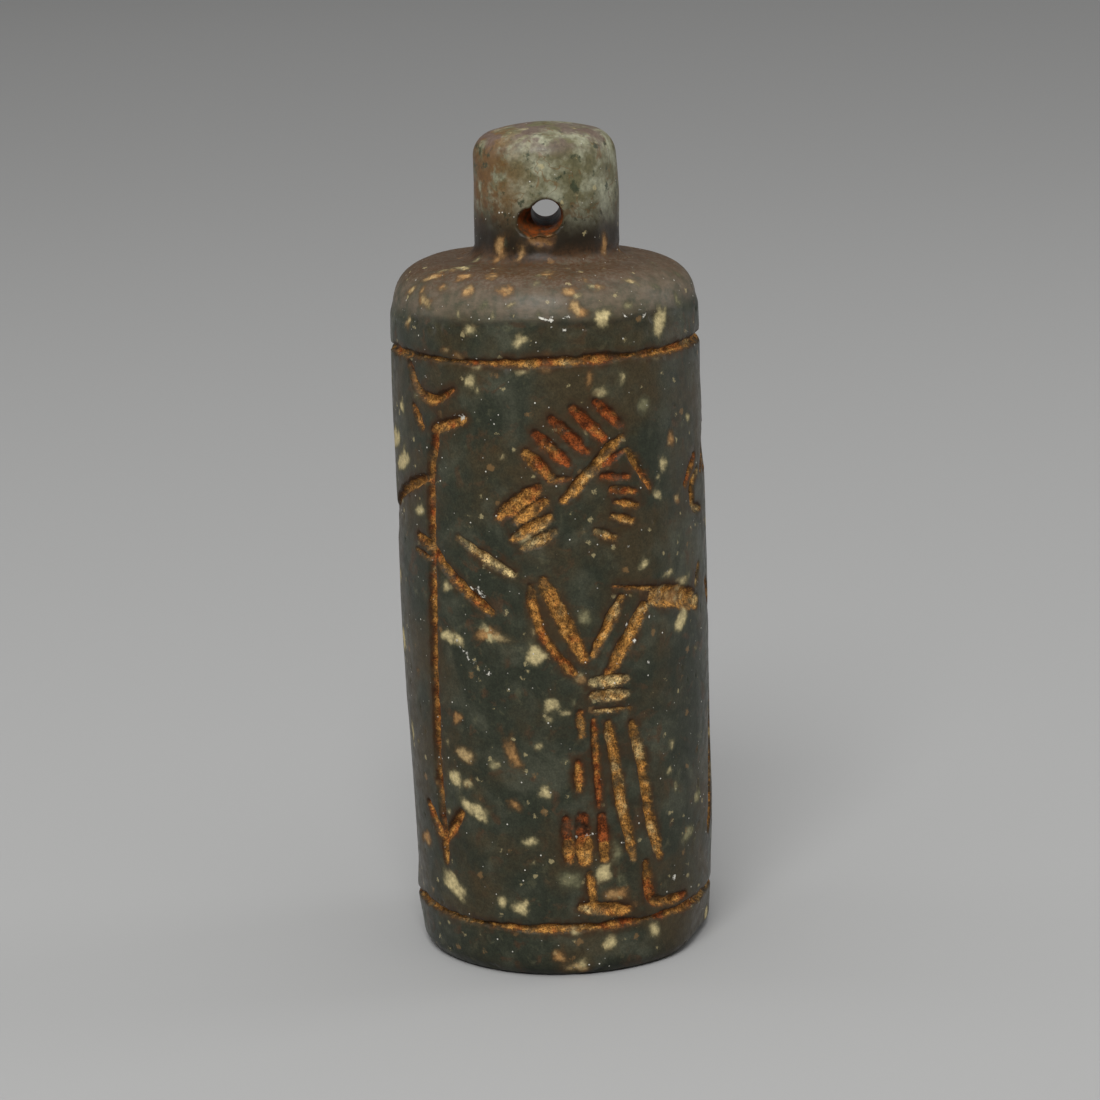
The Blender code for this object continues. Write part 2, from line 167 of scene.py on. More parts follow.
class SealColours(bpy.types.PropertyGroup):
    stone: colour("Stone", "Dark grey-green ground", (0.030, 0.034, 0.021))
    stone_light: colour("Light stone", "Paler clouds in the ground", (0.074, 0.076, 0.050))
    stone_brown: colour("Brown stone", "Brown clouds in the ground", (0.058, 0.042, 0.019))
    # The shoulder colour is its brown-grey, lightened by painted top light that its upward-facing stone would
    # catch
    shoulder: colour("Shoulder", "Handled brown-grey of the shoulder", (0.165, 0.128, 0.088))
    stain: colour("Stain", "Rust stain round the knob's foot", (0.088, 0.044, 0.020))
    creep: colour("Creep", "Rust that has crept out of the strokes", (0.050, 0.026, 0.010))
    knob: colour("Knob", "Lighter olive stone of the knob", (0.145, 0.134, 0.070))
    knob_pale: colour("Pale knob", "Pale grey-green clouds on the knob", (0.36, 0.36, 0.25))
    knob_low: colour("Low knob", "Dark brown stone at the knob's foot", (0.022, 0.015, 0.008))
    knob_brown: colour("Brown knob", "Brown stain on the knob and round stained spots", (0.17, 0.088, 0.030))
    knob_green: colour("Green knob", "Dark green spots on the knob", (0.040, 0.052, 0.028))
    knob_violet: colour("Violet knob", "Violet-brown cloud on the knob's top", (0.150, 0.105, 0.085))
    cream: colour("Cream inclusion", "Pale mineral spots", (0.58, 0.475, 0.24))
    olive: colour("Olive inclusion", "Dull green mineral spots", (0.160, 0.152, 0.082))
    tan: colour("Tan inclusion", "Stained mineral spots", (0.42, 0.225, 0.08))
    pale: colour("Pale earth", "Dry pale earth", (0.56, 0.42, 0.19))
    ochre: colour("Ochre earth", "Earth packed in the strokes", (0.43, 0.205, 0.047))
    rust: colour("Rust earth", "Red earth in the headdress", (0.255, 0.062, 0.013))
    # Dark earth is also the colour of the painted shade along each stroke's upper left edge
    dark: colour("Dark earth", "Dark grains and pits in the earth", (0.036, 0.014, 0.005))
    # Dust is also the white of the painted glints
    dust_and_glints: colour("Dust", "White crumbs on the surface", (0.80, 0.77, 0.67))


class StageSettings(bpy.types.PropertyGroup):
    distance: length("Camera distance", "In front of the seal's axis", 0.205)
    height: length("Camera height", "Above the underside", 0.0727)
    lens: share("Lens", "Focal length in millimetres", 104.83)
    pitch: FloatProperty(name="Pitch", description="Down from level", default=radians(12.80), subtype="ANGLE")
    yaw: FloatProperty(name="Yaw", description="To the left", default=radians(0.05), subtype="ANGLE")
    roll: FloatProperty(name="Roll", description="The seal's lean", default=radians(-1.97), subtype="ANGLE")
    floor: colour("Floor", "Plain pale floor", (0.42, 0.42, 0.415))
    world: share("World light", "Strength of the even light all round", 0.09)


# The stone's turned shape


def upper_border(size):
    return size.wall_height - size.upper_border_drop


def shoulder_top(size):
    return size.wall_height + size.shoulder_rise


def wall_radius(z, size):
    """The wall's radius at heights z: a slight belly, drawn in more at the foot than at the rim."""
    belly = size.belly_share * size.wall_height
    below = np.clip((belly - z) / belly, 0, 1) ** size.belly_power
    above = np.clip((z - belly) / (size.wall_height - belly), 0, 1) ** size.belly_power
    drawn_in = (size.belly_radius - size.foot_radius) * below + (size.belly_radius - size.rim_radius) * above
    return size.belly_radius - drawn_in


def axis_offset(z, size):
    """How far the stone's middle stands to the right at heights z."""
    foot = np.clip(1 - z / (size.belly_share * size.wall_height), 0, 1)
    knob = np.clip((z - shoulder_top(size)) / size.knob_fillet, 0, 1)
    return size.foot_shift * foot + size.knob_shift * knob


def arc(centre, radius, start, end, steps):
    """Points along an arc from one angle to another, in degrees."""
    turns = [radians(start + (end - start) * i / steps) for i in range(steps + 1)]
    return [(centre[0] + radius * cos(turn), centre[1] + radius * sin(turn)) for turn in turns]


def profile(size):
    """The stone's outline as (radius, height), from the underside's edge to the middle of the knob's top."""
    foot_centre = (float(wall_radius(size.foot_rounding, size)) - size.foot_rounding, size.foot_rounding)
    foot = arc(foot_centre, size.foot_rounding, -90, 0, 8)
    heights = np.linspace(size.foot_rounding, size.wall_height, WALL_STEPS)[1:]
    wall = [(float(wall_radius(z, size)), float(z)) for z in heights]
    knob_foot = size.knob_radius + size.knob_flare
    inner = knob_foot + size.knob_fillet
    reach = size.rim_radius - size.rim_crease - inner
    shoulder = []
    for i in range(SHOULDER_STEPS):
        turn = radians(SHOULDER_START - SHOULDER_START * i / SHOULDER_STEPS)
        across, up = sin(turn) ** (2 / size.shoulder_power), cos(turn) ** (2 / size.shoulder_power)
        shoulder.append((inner + reach * across, size.wall_height + size.shoulder_rise * up))
    fillet = arc((inner, shoulder_top(size) + size.knob_fillet), size.knob_fillet, 262, 180, 8)
    edge_start = size.knob_radius - size.knob_edge
    edge_height = SEAL_HEIGHT - size.knob_dome - size.knob_edge
    between_centres = (edge_start**2 + size.knob_dome**2) / (2 * size.knob_dome)
    meet = degrees(acos(edge_start / between_centres))
    edge = arc((edge_start, edge_height), size.knob_edge, 0, meet, 12)
    dome_radius = between_centres + size.knob_edge
    dome = arc((0, SEAL_HEIGHT - dome_radius), dome_radius, meet, 89.7, 6)[1:]
    return foot + wall + shoulder + fillet + edge + dome


def deselect_all():
    for obj in bpy.context.selected_objects:
        obj.select_set(False)


def turned_blank(size):
    """A disc drawn up along the outline, ring by ring, and closed at the knob's top."""
    deselect_all()
    rings = profile(size)
    radius, z = rings[0]
    middle = float(axis_offset(z, size))
    place = (middle, 0, z)
    bpy.ops.mesh.primitive_circle_add(vertices=ROUND_STEPS, radius=radius, fill_type="NGON", location=place)
    blank = bpy.context.object
    blank.name = "seal_stone"
    bpy.ops.object.mode_set(mode="EDIT")
    bpy.ops.mesh.select_all(action="SELECT")
    for next_radius, next_z in rings[1:]:
        next_middle = float(axis_offset(next_z, size))
        step = (next_middle - middle, 0, next_z - z)
        bpy.ops.mesh.extrude_region_move(TRANSFORM_OT_translate={"value": step})
        grow = next_radius / radius
        bpy.ops.transform.resize(value=(grow, grow, 1), center_override=(next_middle, 0, next_z))
        radius, z, middle = next_radius, next_z, next_middle
    bpy.ops.mesh.select_all(action="SELECT")
    bpy.ops.mesh.normals_make_consistent(inside=False)
    bpy.ops.object.mode_set(mode="OBJECT")
    bpy.ops.object.transform_apply(location=True)
    return blank


def apply_modifier(obj, kind, **values):
    """Adds a modifier with these values and applies it."""
    bpy.context.view_layer.objects.active = obj
    modifier = obj.modifiers.new(kind.lower(), kind)
    for key, value in values.items():
        setattr(modifier, key, value)
    bpy.ops.object.modifier_apply(modifier=modifier.name)


def cut_away(stone, tool):
    apply_modifier(stone, "BOOLEAN", operation="DIFFERENCE", solver="EXACT", object=tool)
    bpy.data.objects.remove(tool)


def pierce(stone, size):
    """The string hole: a straight drill hole with a cone at each mouth, and a worn channel at the front."""
    middle = Vector((size.knob_shift, 0, shoulder_top(size) + size.hole_height))
    deselect_all()
    bpy.ops.mesh.primitive_cylinder_add(
        vertices=HOLE_STEPS,
        radius=size.hole_radius,
        depth=size.knob_radius * 4,
        location=middle,
        rotation=(pi / 2, 0, 0),
    )
    cut_away(stone, bpy.context.object)
    outer = size.knob_radius + size.knob_flare + size.mouth_depth
    inner = size.knob_radius - size.mouth_depth
    spread = (size.mouth_radius - size.hole_radius) / size.mouth_depth
    for side, share_of_cone in MOUTHS:
        deselect_all()
        bpy.ops.mesh.primitive_cone_add(
            vertices=HOLE_STEPS,
            radius1=size.hole_radius,
            radius2=size.hole_radius + share_of_cone * spread * (outer - inner),
            depth=outer - inner,
            location=(middle.x, side * (outer + inner) / 2, middle.z),
            rotation=(-side * pi / 2, 0, 0),
        )
        cut_away(stone, bpy.context.object)
    start = middle + Vector((0, -size.knob_radius * CHANNEL_START, 0))
    mouth = middle + Vector((-size.channel_reach, -size.knob_radius, -size.channel_drop))
    way = mouth - start
    end = mouth + way.normalized() * size.mouth_depth * 1.5
    deselect_all()
    bpy.ops.mesh.primitive_cone_add(
        vertices=HOLE_STEPS,
        radius1=size.channel_radius * CHANNEL_ENDS[0],
        radius2=size.channel_radius * CHANNEL_ENDS[1],
        depth=(end - start).length,
        location=(start + end) / 2,
        rotation=way.to_track_quat("Z", "Y").to_euler(),
    )
    cut_away(stone, bpy.context.object)


# Noise


def lattice(cells, seed):
    """A repeatable value from -1 to 1 for each whole-numbered cell."""
    x, y, z = (cells[:, i].astype(np.uint32) for i in range(3))
    mixed = x * np.uint32(374761393) + y * np.uint32(668265263) + z * np.uint32(2246822519)
    mixed = mixed + np.uint32(seed * 3266489917 % 2**32)
    mixed = (mixed ^ (mixed >> np.uint32(15))) * np.uint32(2246822519)
    mixed = (mixed ^ (mixed >> np.uint32(13))) * np.uint32(3266489917)
    mixed = mixed ^ (mixed >> np.uint32(16))
    return mixed.astype(np.float64) / 2147483647.5 - 1


def soft_noise(points, grain, seed):
    """Smooth noise from about -1 to 1, with lumps of about this size."""
    place = points / grain
    cell = np.floor(place).astype(np.int64)
    part = place - cell
    part = part * part * (3 - 2 * part)
    total = np.zeros(len(points))
    for corner in np.ndindex(2, 2, 2):
        weight = np.prod(np.where(np.array(corner) == 1, part, 1 - part), axis=1)
        total += weight * lattice(cell + np.array(corner), seed)
    return total


def layered(points, layers, base=0.0):
    """Several layers of soft noise, added to a base value."""
    total = np.full(len(points), base)
    for amount, grain, seed in layers:
        total = total + amount * soft_noise(points, grain, seed)
    return total


def smooth_step(value, low, high):
    t = np.clip((value - low) / (high - low), 0, 1)
    return t * t * (3 - 2 * t)


# The picture

# It is laid out on a squared grid: columns round the wall, counted from the front, and rows between
# the two borders. Each stroke is (grid points, width, depth, tone), with the widths and depths as
# shares of the usual ones and the tone from 0, pale earth, to 1, red earth. Above 1 it is darker.

GRID_COLUMNS = 63
GRID_ROWS = 37
PALE, TAN, OCHRE, ORANGE, RED = 0.0, 0.25, 0.5, 0.7, 1.0


def toward(start, angle, reach):
    """The point so far from the start, at an angle in degrees from the right."""
    return (start[0] + reach * cos(radians(angle)), start[1] + reach * sin(radians(angle)))


def mirrored(strokes, axis):
    """The strokes turned to face the other way, about a column."""
    turned = []
    for points, *rest in strokes:
        turned.append(([(2 * axis - column, row) for column, row in points], *rest))
    return turned


def headdress(count):
    """A brim line, with a comb of feathers standing behind it. The middle ones are the longest."""
    strokes = [([(0.8, 28.3), (4.6, 31.9)], 1.1, 1, 0.45)]
    tones = (0.62, RED, 1.1, 1.0, 0.95)
    for i in range(count):
        foot = (0.0 + 1.15 * i, 29.75 + 0.75 * i)
        reach = 3.0 - 0.2 * (i - (count - 1) / 2) ** 2
        strokes.append(([foot, toward(foot, 134, reach)], 1.2, 1.1, tones[i]))
    strokes.append(([(-0.1, 29.5), (1.2, 29.6)], 0.7, 0.6, ORANGE))
    return strokes


def face(bars):
    """A plain schematic face: a forehead line, a brow, and a ladder of short bars down to the beard."""
    strokes = [([(5.1, 31.1), (6.7, 28.5)], 0.8, 0.9, ORANGE), ([(3.5, 30.3), (4.9, 31.1)], 0.8, 0.8, RED)]
    for i in range(bars):
        back = 0.5 if i == bars - 1 else 0
        start = (3.3 + 0.9 * sin(pi * i / (bars - 1)) - back, 29.6 - 0.86 * i)
        tone = RED - 0.22 * i
        strokes.append(([start, toward(start, -8 - 4 * i, 1.8 - 0.12 * i)], 0.9, 0.8, tone))
    return strokes


def hair_locks(count):
    """Locks on the neck, long and short by turns."""
    strokes = []
    for i in range(count):
        start = (-0.8 + 0.3 * i, 29.1 - 0.95 * i)
        reach = 2.1 if i % 2 else 3.1 - 0.3 * i
        strokes.append(([start, toward(start, 216 - 3 * i, reach)], 1.45 - 0.1 * i, 1, 0.66 - 0.14 * i))
    return strokes


def torso():
    """The crossed robe: two lines down from each shoulder, meeting at the belt."""
    return [
        ([(-1.5, 22.8), (-1.4, 21.6), (-0.6, 19.2), (1.1, 17.0)], 0.9, 0.8, 0.65),
        ([(-0.7, 23.1), (1.7, 18.0)], 1.4, 1, OCHRE),
        ([(4.3, 21.7), (2.3, 18.2)], 1.0, 0.85, 0.42),
        ([(6.0, 20.9), (4.5, 18.7), (3.3, 16.9)], 1.35, 1, 0.5),
    ]


def reaching_arm():
    """The forward arm: an upper line, a lower line and a broad hand."""
    return [
        ([(3.8, 22.5), (5.7, 22.1), (7.8, 21.8)], 0.5, 0.5, OCHRE),
        ([(5.9, 20.7), (6.7, 21.0), (8.2, 20.6)], 0.7, 0.7, TAN),
        ([(6.8, 21.4), (9.2, 20.9), (11.3, 20.1)], 2.1, 1, 0.36),
        ([(11.4, 21.2), (12.0, 22.5)], 0.7, 0.7, TAN),
    ]


def belt():
    """Two bars across the waist, with a faint one below."""
    bars = [([(2.2, row), (4.5, row - 0.1)], 1.25, 0.9, 0.05) for row in (16.45, 15.5)]
    return bars + [([(2.3, 14.5), (4.6, 14.4)], 0.6, 0.4, TAN)]


def robe():
    """Two long folds down to the ankles and a broken one behind them."""
    return [
        ([(3.1, 13.6), (3.6, 10.6), (4.0, 7.6), (4.7, 4.3)], 1.05, 1, 0.4),
        ([(4.8, 13.4), (5.5, 10.4), (6.0, 7.0), (6.7, 4.1)], 1.1, 1, 0.4),
        ([(1.3, 14.4), (1.4, 13.0)], 1, 0.8, ORANGE),
        ([(1.1, 11.1), (1.1, 9.4)], 1, 0.8, ORANGE),
        ([(2.2, 13.9), (2.3, 11.0), (2.4, 8.2)], 0.75, 0.7, 0.85),
    ]


def fringe():
    """Short uneven tassels side by side at the robe's hem, darker above than below."""
    strokes = []
    for column, middle, width in ((0.15, 6.1, 1.3), (1.2, 6.3, 1.75), (2.55, 5.7, 1.3)):
        strokes.append(([(column, 7.4), (column + 0.05, middle - 0.3)], width - 0.1, 1, 1.25))
        strokes.append(([(column + 0.05, middle), (column + 0.1, 4.6)], width, 1, 0.55))
    return strokes


def feet():
    """An ankle and a foot to the left, and to the right a leg that turns into its foot."""
    return [
        ([(1.6, 3.7), (1.75, 1.9)], 1, 0.9, OCHRE),
        ([(1.0, 1.4), (4.1, 0.9)], 1.4, 1, 0.5),
        ([(5.6, 3.8), (5.8, 1.8), (6.5, 0.95), (9.1, 0.8)], 1, 0.9, ORANGE),
    ]


def offering_arm():
    """The arm stretched out behind to hold the staff, with a rod above it."""
    return [
        ([(-10.0, 25.4), (-8.5, 24.6), (-7.2, 23.3), (-4.1, 21.0)], 1, 1, 0.6),
        ([(-10.4, 24.4), (-8.9, 24.0)], 0.7, 0.7, ORANGE),
        ([(-6.3, 25.7), (-2.5, 23.5)], 0.9, 0.7, PALE),
    ]


def crescent_staff():
    """A tall staff under a crescent moon, with short rays below the moon and a barbed foot."""
    moon = [toward((-8.1, 36.7), angle, 2.35) for angle in (187, 230, 272, 318)]
    staff = [(-7.8, 32.4), (-8.5, 29.4), (-8.7, 22.6), (-9.2, 12.6), (-9.1, 7.6), (-9.0, 3.7)]
    strokes = [(moon, 0.95, 1, ORANGE), (staff, 1.0, 0.9, 0.7)]
    strokes.append(([(-5.6, 33.3), (-8.0, 32.5)], 1.1, 0.8, 0.65))
    strokes.append(([(-10.1, 33.8), (-9.2, 32.5)], 0.9, 0.8, ORANGE))
    for side in (1, -1):
        strokes.append(([(-9.0 + side * 1.8, 7.3), (-9.0 + side * 0.25, 5.3)], 1.1, 1, ORANGE))
    bow = [(-8.6, 29.3), (-9.9, 28.9), (-12.0, 28.0), (-13.8, 26.9), (-15.7, 25.0)]
    return strokes + [(bow, 1, 0.9, OCHRE)]


def cup():
    """A cup raised between the two figures."""
    bowl = [toward((12.4, 27.3), angle, 1.3) for angle in (100, 160, 220, 280)]
    return [(bowl, 0.9, 0.8, TAN), ([(10.3, 28.1), (11.8, 29.6)], 0.9, 0.8, ORANGE)]


def tree(axis, pairs):
    """A sacred tree: a stem with paired leaves, which shorten towards the top."""
    strokes = [([(axis, 0.6), (axis + 0.2, 12), (axis, 25.5)], 1.1, 1, OCHRE)]
    for i in range(pairs):
        for side in (-1, 1):
            foot = (axis + side * 0.5, 5.5 + 3.3 * i)
            strokes.append(([foot, toward(foot, 90 - side * 52, 4.0 - 0.35 * i)], 1, 0.85, 0.6))
    return strokes


def star(centre, rays, reach):
    """A star of strokes that cross in its middle."""
    angles = [180 * i / rays + 8 for i in range(rays)]
    return [([toward(centre, a, reach), toward(centre, a + 180, reach)], 0.9, 0.9, RED) for a in angles]


def stand(axis, height, rungs):
    """An offering stand: two splayed legs joined by rungs, under a table top."""
    strokes = [([(axis + side * 2.3, 0.7), (axis + side * 1.2, height)], 1, 0.9, OCHRE) for side in (-1, 1)]
    strokes.append(([(axis - 3.0, height + 0.9), (axis + 3.0, height + 0.9)], 1.2, 1, OCHRE))
    for i in range(rungs):
        row = height * (i + 1) / (rungs + 1)
        half = 2.3 - 1.1 * row / height - 0.35
        strokes.append(([(axis - half, row), (axis + half, row)], 0.8, 0.8, TAN))
    return strokes


def picture():
    """All strokes round the wall: the worshipper in front, then to the right the plainer hidden side."""
    worshipper = headdress(5) + face(5) + hair_locks(4) + torso() + reaching_arm() + belt() + robe()
    worshipper += fringe() + feet() + offering_arm()
    seated_god = headdress(4) + face(3) + hair_locks(2) + torso() + belt() + robe()[:3] + feet()[1:2]
    hidden = tree(28.5, 5) + star((40, 31), 4, 2.4) + stand(40, 15, 3)
    return worshipper + crescent_staff() + cup() + mirrored(seated_god, 9.9) + hidden


# The strokes' shape in the stone

UPPER_LEFT = np.array([-0.45, 0.89])  # on the unrolled wall


def smooth_point(points, place):
    """The point at a place along a smooth curve through the points, 0 at the first and 1 at the second."""
    i = min(int(place), len(points) - 2)
    t = place - i
    a, b = points[i], points[i + 1]
    before = points[i - 1] if i else (2 * a[0] - b[0], 2 * a[1] - b[1])
    after = points[i + 2] if i + 2 < len(points) else (2 * b[0] - a[0], 2 * b[1] - a[1])
    blended = []
    for p0, p1, p2, p3 in zip(before, a, b, after):
        squared, cubed = 2 * p0 - 5 * p1 + 4 * p2 - p3, 3 * p1 - p0 - 3 * p2 + p3
        blended.append(0.5 * (2 * p1 + (p2 - p0) * t + squared * t**2 + cubed * t**3))
    return blended


def unrolled(points, size):
    """Each point's place on the picture's grid, in grid squares."""
    z = points[:, 2]
    turn = np.arctan2(points[:, 0] - axis_offset(z, size), -points[:, 1])
    rows = (z - size.lower_border) / (upper_border(size) - size.lower_border) * GRID_ROWS
    return turn * GRID_COLUMNS / (2 * pi), rows


def stroke_reach(column, row, points, square):
    """How far each place is from the stroke's line, from its nearer end, and to the line's upper left."""
    steps = 5 * (len(points) - 1)
    line = np.array([smooth_point(points, (len(points) - 1) * i / steps) for i in range(steps + 1)]) * square
    here = np.stack([column, row], -1) * square
    nearest, along, aside = np.full(len(here), 9.0), np.zeros(len(here)), np.zeros(len(here))
    lengths = np.linalg.norm(np.diff(line, axis=0), axis=1)
    passed = np.concatenate([[0], np.cumsum(lengths)])
    for i, run in enumerate(lengths):
        step = (line[i + 1] - line[i]) / run
        t = np.clip((here - line[i]) @ step, 0, run)
        offset = here - line[i] - t[:, None] * step
        distance = np.linalg.norm(offset, axis=1)
        closer = distance < nearest
        nearest = np.where(closer, distance, nearest)
        along = np.where(closer, passed[i] + t, along)
        aside = np.where(closer, offset @ UPPER_LEFT, aside)
    return nearest, np.minimum(along, passed[-1] - along), aside


def engraving(points, size):
    """For each point: how far inside a stroke's edge it is, the stroke's depth and tone there, and its side.

    The side is 1 at the stroke's upper left edge and -1 at its lower right edge.
    """
    column, row = unrolled(points, size)
    column_wide = 2 * pi * size.belly_radius / GRID_COLUMNS
    row_tall = (upper_border(size) - size.lower_border) / GRID_ROWS
    square = np.array([column_wide, row_tall])
    on_wall = points[:, 2] < size.wall_height
    ragged = layered(points, RAGGED_EDGE)
    inside, depth, tone = np.full(len(points), -MM), np.zeros(len(points)), np.full(len(points), OCHRE)
    side = np.zeros(len(points))

    def keep(where, edge, deep, hue, across):
        """Lays one groove over those before it: its place inside, its depth, its tone and its side."""
        nearer = edge > inside[where]
        inside[where] = np.where(nearer, edge, inside[where])
        tone[where] = np.where(nearer, hue, tone[where])
        side[where] = np.where(nearer, across, side[where])
        depth[where] = np.maximum(depth[where], deep)

    for line_points, width, deep, hue in picture():
        line = np.array(line_points)
        low, high = line.min(axis=0) - 2, line.max(axis=0) + 2
        middle = (low[0] + high[0]) / 2
        near_column = (column - middle + GRID_COLUMNS / 2) % GRID_COLUMNS - GRID_COLUMNS / 2 + middle
        box = (near_column > low[0]) & (near_column < high[0]) & (row > low[1]) & (row < high[1])
        where = np.flatnonzero(box & on_wall)
        distance, from_end, aside = stroke_reach(near_column[where], row[where], line_points, square)
        distance = distance + ragged[where]
        widening = END_WIDTH + (1 - END_WIDTH) * smooth_step(from_end, 0, size.stroke_width)
        deepening = END_DEPTH + (1 - END_DEPTH) * smooth_step(from_end, 0, END_RISE * size.stroke_width)
        half = size.stroke_width * width / 2 * widening
        fall = 1 - smooth_step(distance / half, *STROKE_BANK)
        floor = size.stroke_depth * deep * deepening
        keep(where, half - distance, fall * floor, hue, aside / half)
    for height in (size.lower_border, upper_border(size)):
        where = np.flatnonzero(on_wall & (np.abs(points[:, 2] - height) < BORDER_REACH))
        level = points[where] * (1, 1, 0)
        above = points[where, 2] - height + 0.00009 * soft_noise(level, 0.004, 21)
        distance = np.abs(above) + ragged[where]
        half = size.border_width / 2 * layered(level, WORN_BORDER, 0.82)
        fall = 1 - smooth_step(distance / half, *BORDER_BANK)
        hue = 0.55 + 0.35 * soft_noise(level, 0.0012, 24)
        keep(where, half - distance, fall * size.border_depth, hue, above / half)
    return inside, depth, tone, side


# Spots, hollows and crumbs

# Pale mineral spots, as (millimetres round the wall from the front at a radius of 10,
# millimetres above the underside, width, height, tilt in degrees, kind)

